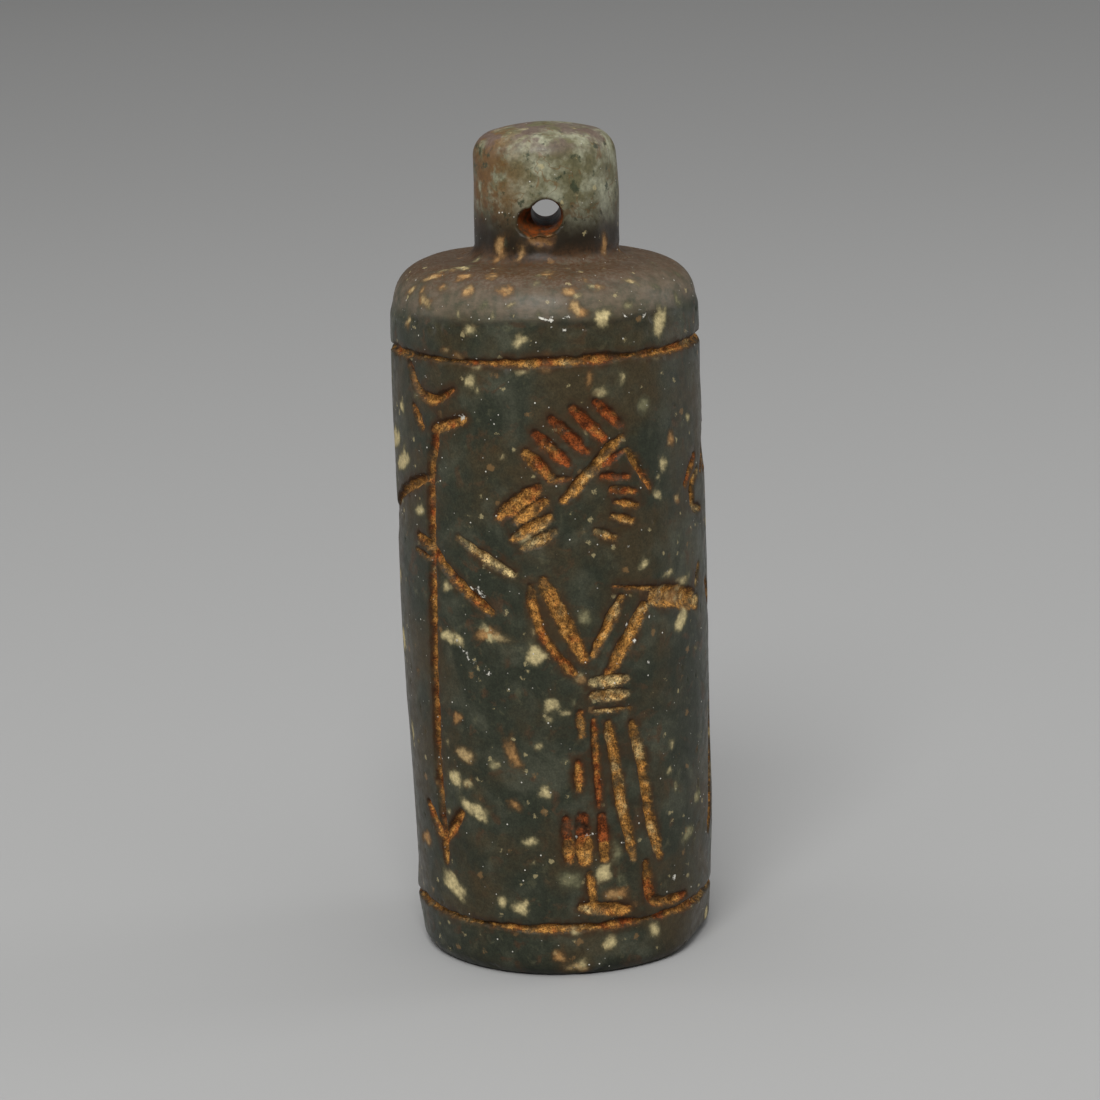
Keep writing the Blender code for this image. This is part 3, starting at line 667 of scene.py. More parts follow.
OLIVE, CREAM, STAINED = 0.0, 0.5, 1.0
INCLUSIONS = (
    # Left of the staff
    (-14.1, 34.2, 3.0, 1.4, 20, CREAM),
    (-12.4, 33.0, 2.6, 1.3, 25, CREAM),
    (-11.7, 36.7, 0.8, 0.7, 0, CREAM),
    (-9.8, 30.3, 1.3, 0.6, 0, CREAM),
    (-14.3, 20.9, 1.2, 2.0, 10, CREAM),
    (-13.2, 14.8, 0.6, 1.6, 0, CREAM),
    (-11.8, 7.95, 1.7, 0.9, 20, STAINED),
    # Between the staff and the figure
    (-5.0, 39.05, 0.7, 0.9, 0, CREAM),
    (-4.5, 38.5, 0.3, 0.5, 0, CREAM),
    (-7.4, 25.75, 0.9, 0.7, 0, CREAM),
    (-7.65, 22.45, 1.2, 0.9, 0, CREAM),
    (-6.6, 22.2, 1.0, 0.8, -20, CREAM),
    (-3.9, 22.75, 2.2, 0.6, -5, 0.75),
    (-1.3, 21.6, 1.3, 1.5, 0, CREAM),
    (-0.45, 18.4, 0.9, 0.7, 0, CREAM),
    (0.4, 17.85, 0.8, 0.5, 0, CREAM),
    (-0.65, 17.45, 0.5, 0.4, 0, CREAM),
    (-7.05, 17.05, 0.9, 0.7, 30, STAINED),
    (-3.0, 15.0, 0.6, 2.2, 28, STAINED),
    (-1.4, 15.65, 0.5, 0.5, 0, CREAM),
    (-6.6, 14.7, 1.5, 0.9, -20, 0.8),
    (-4.4, 14.3, 0.9, 0.7, 0, 0.2),
    (-7.5, 13.0, 1.1, 1.2, 0, CREAM),
    (-6.5, 12.8, 0.9, 0.7, 0, 0.7),
    (-6.3, 11.15, 2.2, 0.7, -28, CREAM),
    (-8.5, 10.5, 0.6, 0.5, 0, CREAM),
    (-3.1, 11.55, 0.8, 0.7, 0, 1.3),
    (-1.1, 12.6, 0.8, 0.8, 0, CREAM),
    (-2.25, 9.3, 1.1, 0.6, 0, CREAM),
    (-8.3, 5.5, 2.8, 1.0, -45, CREAM),
    (-4.3, 5.0, 0.9, 0.8, 0, CREAM),
    (-3.1, 4.7, 1.1, 1.1, 0, CREAM),
    # On and round the figure
    (-6.8, 40.8, 0.5, 0.4, 0, 0.8),
    (-5.8, 40.5, 0.8, 0.6, 0, 0.9),
    (-4.5, 39.8, 0.8, 0.5, 0, 0.7),
    (-1.5, 39.8, 1.0, 0.5, 0, CREAM),
    (0.0, 40.2, 0.9, 1.2, 0, STAINED),
    (7.8, 39.8, 0.8, 0.4, 0, CREAM),
    (3.4, 38.2, 1.1, 0.6, 0, CREAM),
    (4.9, 38.9, 0.4, 0.8, 0, CREAM),
    (2.7, 39.1, 0.5, 1.0, 0, STAINED),
    (6.4, 37.0, 1.0, 1.1, -20, 0.1),
    (8.0, 33.1, 0.7, 1.1, 20, CREAM),
    (7.4, 32.3, 0.4, 0.4, 0, CREAM),
    (7.4, 31.2, 0.7, 0.6, 0, CREAM),
    (9.3, 30.6, 0.7, 0.6, 0, 0.8),
    (8.8, 34.6, 0.6, 1.0, 0, STAINED),
    (-1.6, 29.3, 1.2, 0.8, 30, CREAM),
    (6.0, 26.9, 0.8, 0.6, 0, CREAM),
    (1.9, 24.0, 0.8, 1.0, 0, 0.15),
    (8.2, 25.9, 0.9, 0.6, 40, CREAM),
    (9.6, 25.0, 1.4, 0.8, 0, CREAM),
    (9.4, 22.6, 1.8, 1.2, 30, CREAM),
    (8.8, 24.2, 1.8, 1.2, -10, 0.95),
    (1.5, 20.0, 0.8, 0.7, 0, 0.9),
    (0.3, 6.7, 1.6, 1.1, 0, 0.1),
    (2.5, 6.9, 1.2, 1.4, 0, 0.6),
    (3.75, 6.4, 0.5, 0.6, 0, OLIVE),
    (3.2, 5.4, 1.4, 0.8, 0, 0.9),
    (3.4, 8.2, 1.0, 1.2, 0, 0.1),
    (9.6, 8.25, 1.6, 0.9, 30, 0.15),
    (10.9, 10.3, 0.9, 0.9, 0, 0.2),
    (7.85, 12.85, 0.5, 0.5, 0, CREAM),
    (8.4, 11.7, 0.5, 0.7, 0, 0.2),
    (8.1, 14.6, 0.5, 0.7, 0, CREAM),
    (2.85, 2.2, 0.9, 1.0, 0, CREAM),
    (6.2, 2.5, 0.9, 1.2, 20, CREAM),
    (0.6, 3.2, 0.9, 0.7, 0, CREAM),
    (2.1, 3.1, 0.5, 0.4, 0, CREAM),
    (-0.6, 1.5, 0.8, 0.8, 0, STAINED),
    (0.4, 0.6, 1.7, 0.8, 0, 0.8),
    (11.0, 35.5, 0.6, 0.6, 0, CREAM),
    (14.4, 11.2, 0.8, 1.4, 0, CREAM),
    # On the shoulder and the knob
    (3.6, 42.8, 1.1, 1.2, 0, CREAM),
    (8.2, 41.9, 1.0, 2.0, -10, CREAM),
    (1.8, 44.4, 0.9, 0.7, 0, 0.9),
    (2.0, 43.4, 0.9, 1.2, 20, 0.85),
    (-6.4, 45.2, 1.1, 0.8, 30, 0.9),
    (-5.4, 44.5, 0.9, 0.8, 40, 0.9),
    (-2.7, 44.6, 1.0, 0.6, -10, 0.9),
    (3.8, 44.6, 0.8, 0.5, 0, 0.9),
    (-1.6, 41.6, 1.3, 0.7, 30, CREAM),
    (-9.0, 43.8, 0.5, 0.9, 0, 0.8),
    (-7.0, 46.7, 0.8, 1.6, -12, 0.9),
    (-6.6, 45.9, 0.5, 0.8, 0, STAINED),
    (9.2, 46.6, 0.7, 1.3, 8, STAINED),
    (-9.5, 45.0, 1.6, 0.7, 25, 0.85),
    (-8.2, 45.5, 1.1, 0.6, 15, 0.7),
    (-11.0, 44.2, 0.9, 0.6, 30, 0.8),
    (-7.6, 44.6, 0.7, 0.5, 0, 0.95),
    (-4.2, 45.3, 0.8, 0.5, 10, 0.9),
    (-3.6, 46.3, 0.5, 1.2, -8, 0.9),
    (6.6, 44.8, 0.9, 0.5, -10, 0.75),
    (5.6, 43.4, 0.7, 0.5, 0, 0.2),
    (10.4, 43.2, 0.7, 0.9, 0, 0.15),
    (-10.5, 42.4, 0.6, 0.8, 0, 0.75),
    (-4.9, 42.3, 0.9, 0.5, 15, 0.6),
    (0.2, 45.4, 1.1, 0.5, 0, 0.9),
    (-9.3, 45.1, 0.9, 0.6, 18, 0.9),
    (-8.6, 43.7, 1.1, 0.5, -15, 0.8),
)

# Smaller random spots, as (count, seed, sizes and heights in millimetres, in front too)
SCATTERED = (
    (150, 3, (0.5, 1.7), (1, 44), False),
    (110, 4, (0.25, 0.5), (0.5, 53), True),
    (30, 5, (0.3, 0.7), (43, 46.5), True),
)

# Broad hollows, as (millimetres round, millimetres up, reach, depth). A negative depth is a swell.
HOLLOWS = (
    (-15.5, 37.0, 8.0, -0.11),
    (-15.4, 28.9, 1.5, 0.36),
    (15.3, 32.9, 1.5, 0.42),
    (12.5, 0.0, 4.5, 0.5),
    (27.0, 0.0, 3.5, 0.24),
    (-15.5, 3.2, 2.6, -0.2),
    (15.5, 8.5, 5.0, -0.14),
    (15.5, 50.0, 3.5, -0.15),
    (-25.0, 20.0, 5.0, 0.16),
    (-8.0, 42.6, 3.0, -0.06),
)

# White crumbs and painted glints, as (millimetres round, millimetres up, size)
CRUMBS_AND_GLINTS = (
    (-4.9, 25.8, 0.5),
    (-4.4, 25.5, 0.35),
    (2.4, 24.75, 0.4),
    (7.95, 5.5, 0.45),
    (7.6, 5.1, 0.3),
    (0.3, 1.4, 0.5),
    (6.4, 23.4, 0.35),
    (5.2, 22.0, 0.4),
    (6.2, 20.5, 0.35),
    (-7.5, 39.45, 0.3),
    (2.2, 28.2, 0.25),
    (4.8, 27.7, 0.25),
    (-4.0, 20.0, 0.35),
    (-6.4, 21.4, 0.2),
    (-5.4, 20.9, 0.25),
    (8.2, 31.1, 0.35),
    (8.1, 15.4, 0.3),
    (1.2, 42.2, 0.35),
    (0.4, 42.4, 0.2),
)

# Rows of crumbs and painted glints, as (millimetres round, millimetres up, length, angle in degrees, count)
CRUMB_AND_GLINT_ROWS = (
    (-6.9, 22.0, 3.4, -34, 16),
    (-5.6, 25.9, 1.4, -30, 6),
    (-6.8, 37.0, 1.8, -20, 8),
    (0.4, 9.6, 2.0, -5, 9),
    (-1.2, 7.6, 1.2, 60, 6),
    (4.3, 23.6, 1.0, -60, 5),
    (-1.0, 43.0, 2.6, -4, 10),
    (4.8, 42.7, 2.2, 6, 7),
    (4.4, 28.3, 0.8, -20, 4),
    (7.6, 5.2, 0.9, 50, 6),
)


def crumb_and_glint_rows():
    """Broken rows of small crumbs, left in old scratches, that also stand as painted glints."""
    draw = np.random.default_rng(9)
    found = []
    for round_mm, up_mm, reach, angle, count in CRUMB_AND_GLINT_ROWS:
        for _ in range(count):
            along, aside = draw.uniform(0, reach), draw.normal(0, 0.12)
            x = round_mm + along * cos(radians(angle)) - aside * sin(radians(angle))
            z = up_mm + along * sin(radians(angle)) + aside * cos(radians(angle))
            found.append((x, z, draw.uniform(0.12, 0.30)))
    return tuple(found)


def scattered(count, seed, widths, heights, front_too):
    """Seeded random inclusions, in the same form as the listed ones."""
    draw = np.random.default_rng(seed)
    found = []
    for _ in range(count):
        turn = draw.uniform(-180, 180)
        z = draw.uniform(*heights)
        wide, tall = draw.uniform(*widths), draw.uniform(*widths)
        tilt, kind = draw.uniform(-60, 60), draw.choice((0.1, CREAM, CREAM, 0.7, 0.9))
        if front_too or abs(turn) > 80:
            found.append((radians(turn) * 10, z, wide, tall, tilt, kind))
    return found


def lobes(spot, seed):
    """A spot as a cluster of smaller ones, so that its outline is irregular."""
    draw = np.random.default_rng(100 + seed)
    x, z, wide, tall, tilt, kind = spot
    lean = radians(tilt)
    cluster = [(x, z, wide * 0.98, tall * 0.96, tilt, kind)]
    for _ in range(3):
        a, b = draw.uniform(-0.36, 0.36) * wide, draw.uniform(-0.32, 0.32) * tall
        share_of_size = draw.uniform(0.4, 0.75)
        place = (x + a * cos(lean) - b * sin(lean), z + a * sin(lean) + b * cos(lean))
        size_now = (wide * share_of_size, max(tall, 0.5 * wide) * share_of_size)
        cluster.append((*place, *size_now, tilt + draw.uniform(-50, 50), kind + draw.uniform(-0.2, 0.2)))
    return cluster


def warped(points):
    """The points shifted by soft noise, which makes the outlines of what is placed by them wander."""
    coarse = [0.00016 * soft_noise(points, 0.0006, 50 + i) for i in range(3)]
    fine = [0.00007 * soft_noise(points, 0.0003, 60 + i) for i in range(3)]
    return points + np.stack(coarse, 1) + np.stack(fine, 1)


def spot_field(points, spots, outline, size):
    """For each point: how far inside a spot's edge it is, in metres, and the spot's kind."""
    radii, heights = outline
    inside, kind = np.full(len(points), -MM), np.zeros(len(points))
    for round_mm, up_mm, wide_mm, tall_mm, tilt, sort in spots:
        turn, z = round_mm / 10, up_mm * MM
        r = np.interp(z, heights, radii)
        r_above, r_below = np.interp((z + 0.0002, z - 0.0002), heights, radii)
        slope = np.array([r_above - r_below, 0.0004]) / hypot(r_above - r_below, 0.0004)
        out, sideways = np.array([sin(turn), -cos(turn), 0]), np.array([cos(turn), sin(turn), 0])
        upward = out * slope[0] + np.array([0, 0, slope[1]])
        centre = out * r + np.array([float(axis_offset(z, size)), 0, z])
        near = np.flatnonzero(np.abs(points - centre).max(axis=1) < (wide_mm + tall_mm) * MM)
        offset = points[near] - centre
        u, v = offset @ sideways, offset @ upward
        lean = radians(tilt)
        a, b = u * cos(lean) + v * sin(lean), v * cos(lean) - u * sin(lean)
        half_wide, half_tall = wide_mm * MM / 2, tall_mm * MM / 2
        edge = (1 - np.hypot(a / half_wide, b / half_tall)) * min(half_wide, half_tall)
        nearer = edge > inside[near]
        inside[near] = np.where(nearer, edge, inside[near])
        kind[near] = np.where(nearer, sort, kind[near])
    return inside, kind


# The fine surface


def coordinates(mesh):
    flat = np.empty(len(mesh.vertices) * 3)
    mesh.vertices.foreach_get("co", flat)
    return flat.reshape(-1, 3)


def outward(mesh):
    flat = np.empty(len(mesh.vertices) * 3, np.float32)
    mesh.vertex_normals.foreach_get("vector", flat)
    return flat.reshape(-1, 3).astype(np.float64)


def chips(points, size):
    """Small flakes lost from the foot's edge, the shoulder's edge and the knob's edge."""
    draw = np.random.default_rng(7)
    depth = np.zeros(len(points))
    rings = (
        (22, size.foot_radius, 0.0002, 0.00075),
        (12, size.rim_radius, size.wall_height, 0.0006),
        (8, size.knob_radius * 0.9, SEAL_HEIGHT - size.knob_edge, 0.0006),
    )
    for count, radius, z, largest in rings:
        for _ in range(count):
            turn, reach = draw.uniform(0, 2 * pi), draw.uniform(0.35, 1) * largest
            height = z + draw.uniform(-0.4, 0.4) * largest
            centre = np.array([radius * sin(turn), -radius * cos(turn), height])
            distance = np.linalg.norm((points - centre) / (1, 1, 0.7), axis=1) / reach
            depth = np.maximum(depth, 0.22 * reach * (1 - smooth_step(distance, 0.3, 1)))
    return depth


def hollows(points, size, outline):
    """The depth of the broad hollows, in metres, and less than 0 on the swells."""
    radii, heights = outline
    depth = np.zeros(len(points))
    for round_mm, up_mm, reach_mm, deep_mm in HOLLOWS:
        turn, z = round_mm / 10, up_mm * MM
        radius = np.interp(z, heights, radii)
        centre = np.array([radius * sin(turn) + float(axis_offset(z, size)), -radius * cos(turn), z])
        distance = np.linalg.norm(points - centre, axis=1) / (reach_mm * MM)
        depth += deep_mm * MM * (1 - smooth_step(distance, 0, 1))
    return depth


def shoulder_ridge(points, size):
    """How far the surface stands out in front, along the edge between the shoulder and the wall."""
    level = points[:, 2] - size.wall_height + 0.0003 * soft_noise(points * (1, 1, 0), 0.004, 43)
    ledge = np.exp(-np.clip(level - 0.0005, 0, None) / 0.0011) * smooth_step(level, 0.0001, 0.0005)
    under = np.exp(-(((level + 0.0006) / 0.0006) ** 2))
    in_front = smooth_step(-points[:, 1] / size.rim_radius, 0.35, 0.8)
    return (RIDGE_HEIGHT * ledge - RIDGE_GROOVE * under) * in_front


def string_wear(points, size):
    """From 0 to 1: the shallow patch that the string wore below the front mouth."""
    z = shoulder_top(size) + size.hole_height - size.mouth_radius
    front = points[:, 1] < -size.knob_radius / 2
    down = np.clip(z - points[:, 2], 0, None) / 0.0009
    up = np.clip(points[:, 2] - z, 0, None) / 0.0012
    reach = np.hypot(np.hypot(down, up), (points[:, 0] + 0.0001) / 0.0013)
    return np.where(front, 1 - smooth_step(reach + 0.25 * soft_noise(points, 0.0006, 41), 0, 1), 0)


def carve(stone, size, outline):
    """Moves the fine mesh's points in by the engraving, the wear and the stone's unevenness."""
    mesh = stone.data
    points, normals = coordinates(mesh), outward(mesh)
    radii, heights = outline
    from_axis = np.hypot(points[:, 0] - axis_offset(points[:, 2], size), points[:, 1])
    on_skin = from_axis > np.interp(points[:, 2], heights, radii) - 0.12 * MM
    inside, depth, _, _ = engraving(points, size)
    depth = depth + np.where(inside > 0, layered(points, STROKE_GRAIN), 0)
    spots, _ = spot_field(points, INCLUSIONS, outline, size)
    pitted = smooth_step(spots, -0.00005, 0.00015) * layered(points, PITTED_SPOTS, 0.00002)
    uneven = layered(points, UNEVEN_STONE, 0.00005)
    pits = 0.00005 * smooth_step(soft_noise(points, 0.0005, 36), 0.75, 0.95)
    foot = smooth_step(points[:, 2], 0, 0.0004)
    lost = (depth + pitted + uneven * foot + pits * foot) * on_skin
    lost += chips(points, size) + 0.0002 * string_wear(points, size)
    lost += hollows(points, size, outline) - shoulder_ridge(points, size)
    carved = points - normals * lost[:, None]
    on_shoulder = smooth_step(points[:, 2], size.wall_height, shoulder_top(size))
    on_shoulder *= smooth_step(from_axis, size.knob_radius, size.knob_radius + 2 * size.knob_fillet)
    carved[:, 2] -= size.shoulder_slope * points[:, 0] * on_shoulder
    place_points(mesh, carved)


def place_points(mesh, points):
    """Moves the mesh's points, and keeps them within the solid's box."""
    mesh.vertices.foreach_set("co", np.clip(points, CAD_BOX[0], CAD_BOX[1]).astype(np.float32).ravel())
    mesh.update()


def thin_out(stone, triangles):
    """Decimates the mesh. It is done at a thousand times the size, where the modifier's limits don't bite."""
    now = sum(len(face.vertices) - 2 for face in stone.data.polygons)
    stone.data.transform(Matrix.Scale(1 / MM, 4))
    apply_modifier(stone, "DECIMATE", decimate_type="COLLAPSE", ratio=min(1, triangles / now))
    stone.data.transform(Matrix.Scale(MM, 4))
    place_points(stone.data, coordinates(stone.data))


def note(mesh, name, values):
    """Stores one number for each point, which the material reads."""
    attribute = mesh.attributes.new(name, "FLOAT", "POINT")
    attribute.data.foreach_set("value", values.astype(np.float32))


def mark_surface(stone, size, outline):
    """Notes where the earth, the spots, the crumbs and painted glints lie, in millimetres, for the material
    to read.
    """
    mesh = stone.data
    points = coordinates(mesh)
    radii, heights = outline
    inside, _, tone, side = engraving(points, size)
    note(mesh, "stroke", inside / MM)
    note(mesh, "stroke_tone", tone)
    note(mesh, "stroke_side", np.clip(side, -1.5, 1.5))
    spots = [lobe for i, spot in enumerate(INCLUSIONS) for lobe in lobes(spot, i)]
    for group in SCATTERED:
        spots += scattered(*group)
    edge, kind = spot_field(warped(points), spots, outline, size)
    note(mesh, "spot", edge / MM)
    note(mesh, "spot_kind", kind)
    crumbs_and_glints = []
    for i, (x, z, wide) in enumerate(CRUMBS_AND_GLINTS + crumb_and_glint_rows()):
        crumbs_and_glints.append((x, z, wide * 0.85, wide * 0.5, 40 * i, 0))
    edge, _ = spot_field(points, crumbs_and_glints, outline, size)
    note(mesh, "crumb_and_glint", edge / MM)
    from_axis = np.hypot(points[:, 0] - axis_offset(points[:, 2], size), points[:, 1])
    sunk = np.interp(points[:, 2], heights, radii) - from_axis
    bored = (points[:, 2] > shoulder_top(size) + 0.0008) & (points[:, 2] < SEAL_HEIGHT - size.knob_edge)
    note(mesh, "bore", np.where(bored, (sunk - 0.00013) / 0.0004, 0))
    note(mesh, "string_wear", string_wear(points, size))


# The stone's material


class Shader:
    """A material with a Principled shader, and short calls for the nodes that feed it."""

    def __init__(self, name):
        self.material = bpy.data.materials.new(name)
        self.material.use_nodes = True
        self.tree = self.material.node_tree
        self.principled = self.tree.nodes["Principled BSDF"]
        place = self.tree.nodes.new("ShaderNodeTexCoord")
        scale = self.tree.nodes.new("ShaderNodeMapping")
        scale.inputs["Scale"].default_value = (1 / MM, 1 / MM, 1 / MM)
        self.tree.links.new(place.outputs["Object"], scale.inputs["Vector"])
        self.place = scale.outputs["Vector"]  # in millimetres

    def feed(self, socket, value):
        if isinstance(value, bpy.types.NodeSocket):
            self.tree.links.new(value, socket)
        elif hasattr(value, "__len__"):
            socket.default_value = (*value[:3], 1) if len(socket.default_value) == 4 else tuple(value)
        else:
            socket.default_value = value

    def noise(self, grain, detail=4.0, rough=0.55, warp=0.0, flat=1.0):
        """Noise from 0 to 1 with lumps of about this many millimetres, flattened by this much."""
        squash = self.tree.nodes.new("ShaderNodeMapping")
        squash.inputs["Scale"].default_value = (1, 1, flat)
        self.feed(squash.inputs["Vector"], self.place)
        node = self.tree.nodes.new("ShaderNodeTexNoise")
        self.feed(node.inputs["Vector"], squash.outputs["Vector"])
        node.inputs["Scale"].default_value = 1 / grain
        node.inputs["Detail"].default_value = detail
        node.inputs["Roughness"].default_value = rough
        node.inputs["Distortion"].default_value = warp
        return node.outputs["Fac"]

    def cells(self, grain):
        """The distance to the nearest of scattered points, in cells of this size, and its random colour."""
        node = self.tree.nodes.new("ShaderNodeTexVoronoi")
        self.feed(node.inputs["Vector"], self.place)
        node.inputs["Scale"].default_value = 1 / grain
        return node.outputs["Distance"], node.outputs["Color"]

    def noted(self, name):
        """A number that was stored for each point."""
        node = self.tree.nodes.new("ShaderNodeAttribute")
        node.attribute_name = name
        return node.outputs["Fac"]

    def math(self, kind, a, b=0.0, c=0.0):
        node = self.tree.nodes.new("ShaderNodeMath")
        node.operation = kind
        for socket, value in zip(node.inputs, (a, b, c)):
            self.feed(socket, value)
        return node.outputs["Value"]

    def along(self, axis):
        """The place along X, Y or Z, in millimetres."""
        node = self.tree.nodes.new("ShaderNodeSeparateXYZ")
        self.feed(node.inputs["Vector"], self.place)
        return node.outputs[axis]

    def ramp(self, value, low, high, start=0.0, end=1.0):
        """A soft step from start to end, as the value goes from low to high."""
        node = self.tree.nodes.new("ShaderNodeMapRange")
        node.interpolation_type = "SMOOTHSTEP"
        inputs = {"Value": value, "From Min": low, "From Max": high, "To Min": start, "To Max": end}
        for name, given in inputs.items():
            self.feed(node.inputs[name], given)
        return node.outputs["Result"]

    def clouds(self, grain, detail, rough, low, high, start=0.0, end=1.0):
        """Noise with its middle stretched into a soft step."""
        return self.ramp(self.noise(grain, detail, rough), low, high, start, end)

    def plus(self, a, b):
        return self.math("ADD", a, b)

    def minus(self, a, b):
        return self.math("SUBTRACT", a, b)

    def times(self, a, b):
        return self.math("MULTIPLY", a, b)

    def larger(self, a, b):
        return self.math("MAXIMUM", a, b)

    def mix(self, amount, a, b, blend="MIX"):
        """A colour between two colours."""
        node = self.tree.nodes.new("ShaderNodeMix")
        node.data_type = "RGBA"
        node.blend_type = blend
        self.feed(node.inputs["Factor"], amount)
        self.feed(node.inputs[6], a)
        self.feed(node.inputs[7], b)
        return node.outputs[2]

    def blend(self, amount, a, b):
        """A number between two numbers."""
        return self.plus(self.times(self.minus(b, a), amount), a)


def grey(s, value):
    """A grey of this brightness."""
    node = s.tree.nodes.new("ShaderNodeCombineColor")
    for channel in ("Red", "Green", "Blue"):
        s.feed(node.inputs[channel], value)
    return node.outputs["Color"]


def shaded(s, colour_now, value):
    """The colour made darker or lighter by a number."""
    return s.mix(1.0, colour_now, grey(s, value), "MULTIPLY")


def stone_ground(s, paint):
    """The bare stone: grey-green with paler and browner clouds, brown and lightened by painted top light on
    the shoulder, pale on the knob, with painted shade towards the underside.
    """
    up = s.along("Z")
    ground = s.mix(s.ramp(s.noise(3.4, 4, 0.55, 0.6), 0.42, 0.72), paint.stone, paint.stone_light)
    ground = s.mix(s.ramp(s.noise(0.9, 4, 0.6, 0.5), 0.57, 0.72, 0.0, 0.28), ground, paint.olive)
    ground = s.mix(s.ramp(s.noise(1.4, 4, 0.6, 0.5), 0.55, 0.68, 0.0, 0.6), ground, paint.stain)
    brown = s.clouds(5.5, 4, 0.6, 0.43, 0.66, 0.0, 0.9)
    ground = s.mix(brown, ground, paint.stone_brown)
    ground = shaded(s, ground, s.clouds(0.5, 5, 0.7, 0.32, 0.70, 0.84, 1.18))
    ground = shaded(s, ground, s.clouds(0.13, 3, 0.7, 0.36, 0.66, 0.84, 1.18))
    # Painted shade: the stone darkens towards the underside, where the floor's shade falls
    ground = shaded(s, ground, s.ramp(up, 0.0, 1.8, 0.6, 1.0))
    drift = s.times(s.minus(s.noise(2.6, 4, 0.6), 0.5), 1.8)
    level = s.plus(up, drift)
    # Painted top light: the shoulder above the wall's edge is a lighter brown-grey, as upward-facing stone
    # catches more of the light from above
    shoulder = s.mix(s.clouds(0.8, 5, 0.65, 0.35, 0.75), paint.shoulder, paint.stone_light)
    edge = s.plus(up, s.times(drift, 0.35))
    ground = s.mix(s.ramp(edge, *SHOULDER_LIT_COLOUR), ground, shoulder)
    turned = s.ramp(s.noise(1.1, 5, 0.7, 0.6, 4.0), 0.36, 0.66, 0.9, 1.12)
    ground = shaded(s, ground, s.blend(s.ramp(up, *TURNING_LINES), 1.0, turned))
    foot_stain = s.times(s.ramp(level, *STAIN_START), s.ramp(level, *STAIN_END))
    patchy = s.clouds(0.22, 4, 0.7, 0.38, 0.60, 0.35, 1.0)
    knob = knob_ground(s, paint, level)
    ground = s.mix(s.ramp(level, *KNOB_COLOUR), ground, knob)
    return s.mix(s.times(foot_stain, patchy), ground, paint.stain)


def knob_ground(s, paint, level):
    """The knob: pale olive, dark at its foot, brown to the left, with green spots and a violet top."""
    knob = s.mix(s.clouds(1.6, 5, 0.6, 0.42, 0.66), paint.knob, paint.knob_pale)
    to_left = s.ramp(s.along("X"), 0.2, -3.6, 0.05, 1.0)
    brown = s.times(to_left, s.clouds(1.2, 5, 0.6, 0.36, 0.56))
    knob = s.mix(brown, knob, paint.knob_brown)
    rings = s.math("ABSOLUTE", s.minus(s.noise(2.0, 3, 0.5, 0.6), 0.55))
    knob = s.mix(s.ramp(rings, 0.016, 0.004, 0.0, 0.6), knob, paint.knob_brown)
    knob = s.mix(s.clouds(0.9, 4, 0.65, 0.57, 0.66, 0.0, 0.85), knob, paint.knob_green)
    on_top = s.ramp(level, *KNOB_TOP)
    violet = s.times(on_top, s.clouds(1.3, 4, 0.6, 0.42, 0.58, 0.0, 0.85))
    knob = s.mix(violet, knob, paint.knob_violet)
    knob = shaded(s, knob, s.clouds(0.25, 4, 0.65, 0.3, 0.7, 0.80, 1.18))
    return s.mix(s.ramp(level, *KNOB_DARK), knob, paint.knob_low)


def earth(s, paint, inside, side):
    """Granular earth, from tan to rust and dark, with pits. Painted shade darkens each stroke's upper left
    edge, where its wall would fall in shade under light from above.
    """
    wander = s.times(s.minus(s.noise(1.1, 3, 0.6), 0.5), 1.7)
    tone = s.plus(s.noted("stroke_tone"), wander)
    packed = s.mix(s.ramp(tone, -0.1, 0.45), paint.pale, paint.ochre)
    packed = s.mix(s.ramp(tone, 0.5, 1.0), packed, paint.rust)
    packed = s.mix(s.ramp(tone, 1.1, 1.6), packed, paint.dark)
    packed = shaded(s, packed, s.clouds(0.5, 3, 0.6, 0.36, 0.64, 0.5, 1.5))
    packed = shaded(s, packed, s.clouds(0.11, 2, 0.6, 0.36, 0.64, 0.62, 1.35))
    packed = s.mix(s.clouds(0.10, 2, 0.6, 0.45, 0.36, 0.0, 0.8), packed, paint.dark)
    packed = s.mix(s.ramp(inside, 0.17, 0.0, 0.0, 0.8), packed, paint.creep)
    # Painted shade along each stroke's upper left edge, in the dark earth colour
    painted_shade = s.times(s.ramp(side, 0.0, 0.5, 0.0, 0.9), s.ramp(inside, 0.34, 0.06))
    return s.mix(painted_shade, packed, paint.dark)


def specks(s, grain, radius, share_kept, wobble=0.0):
    """Dots of this radius in cells of this size, in millimetres. Only a share of the cells has one."""
    distance, random = s.cells(grain)
    near = s.ramp(s.plus(s.times(distance, grain), wobble), radius, radius * 0.5)
    node = s.tree.nodes.new("ShaderNodeSeparateColor")
    s.feed(node.inputs["Color"], random)
    return s.times(near, s.math("LESS_THAN", node.outputs["Red"], share_kept))


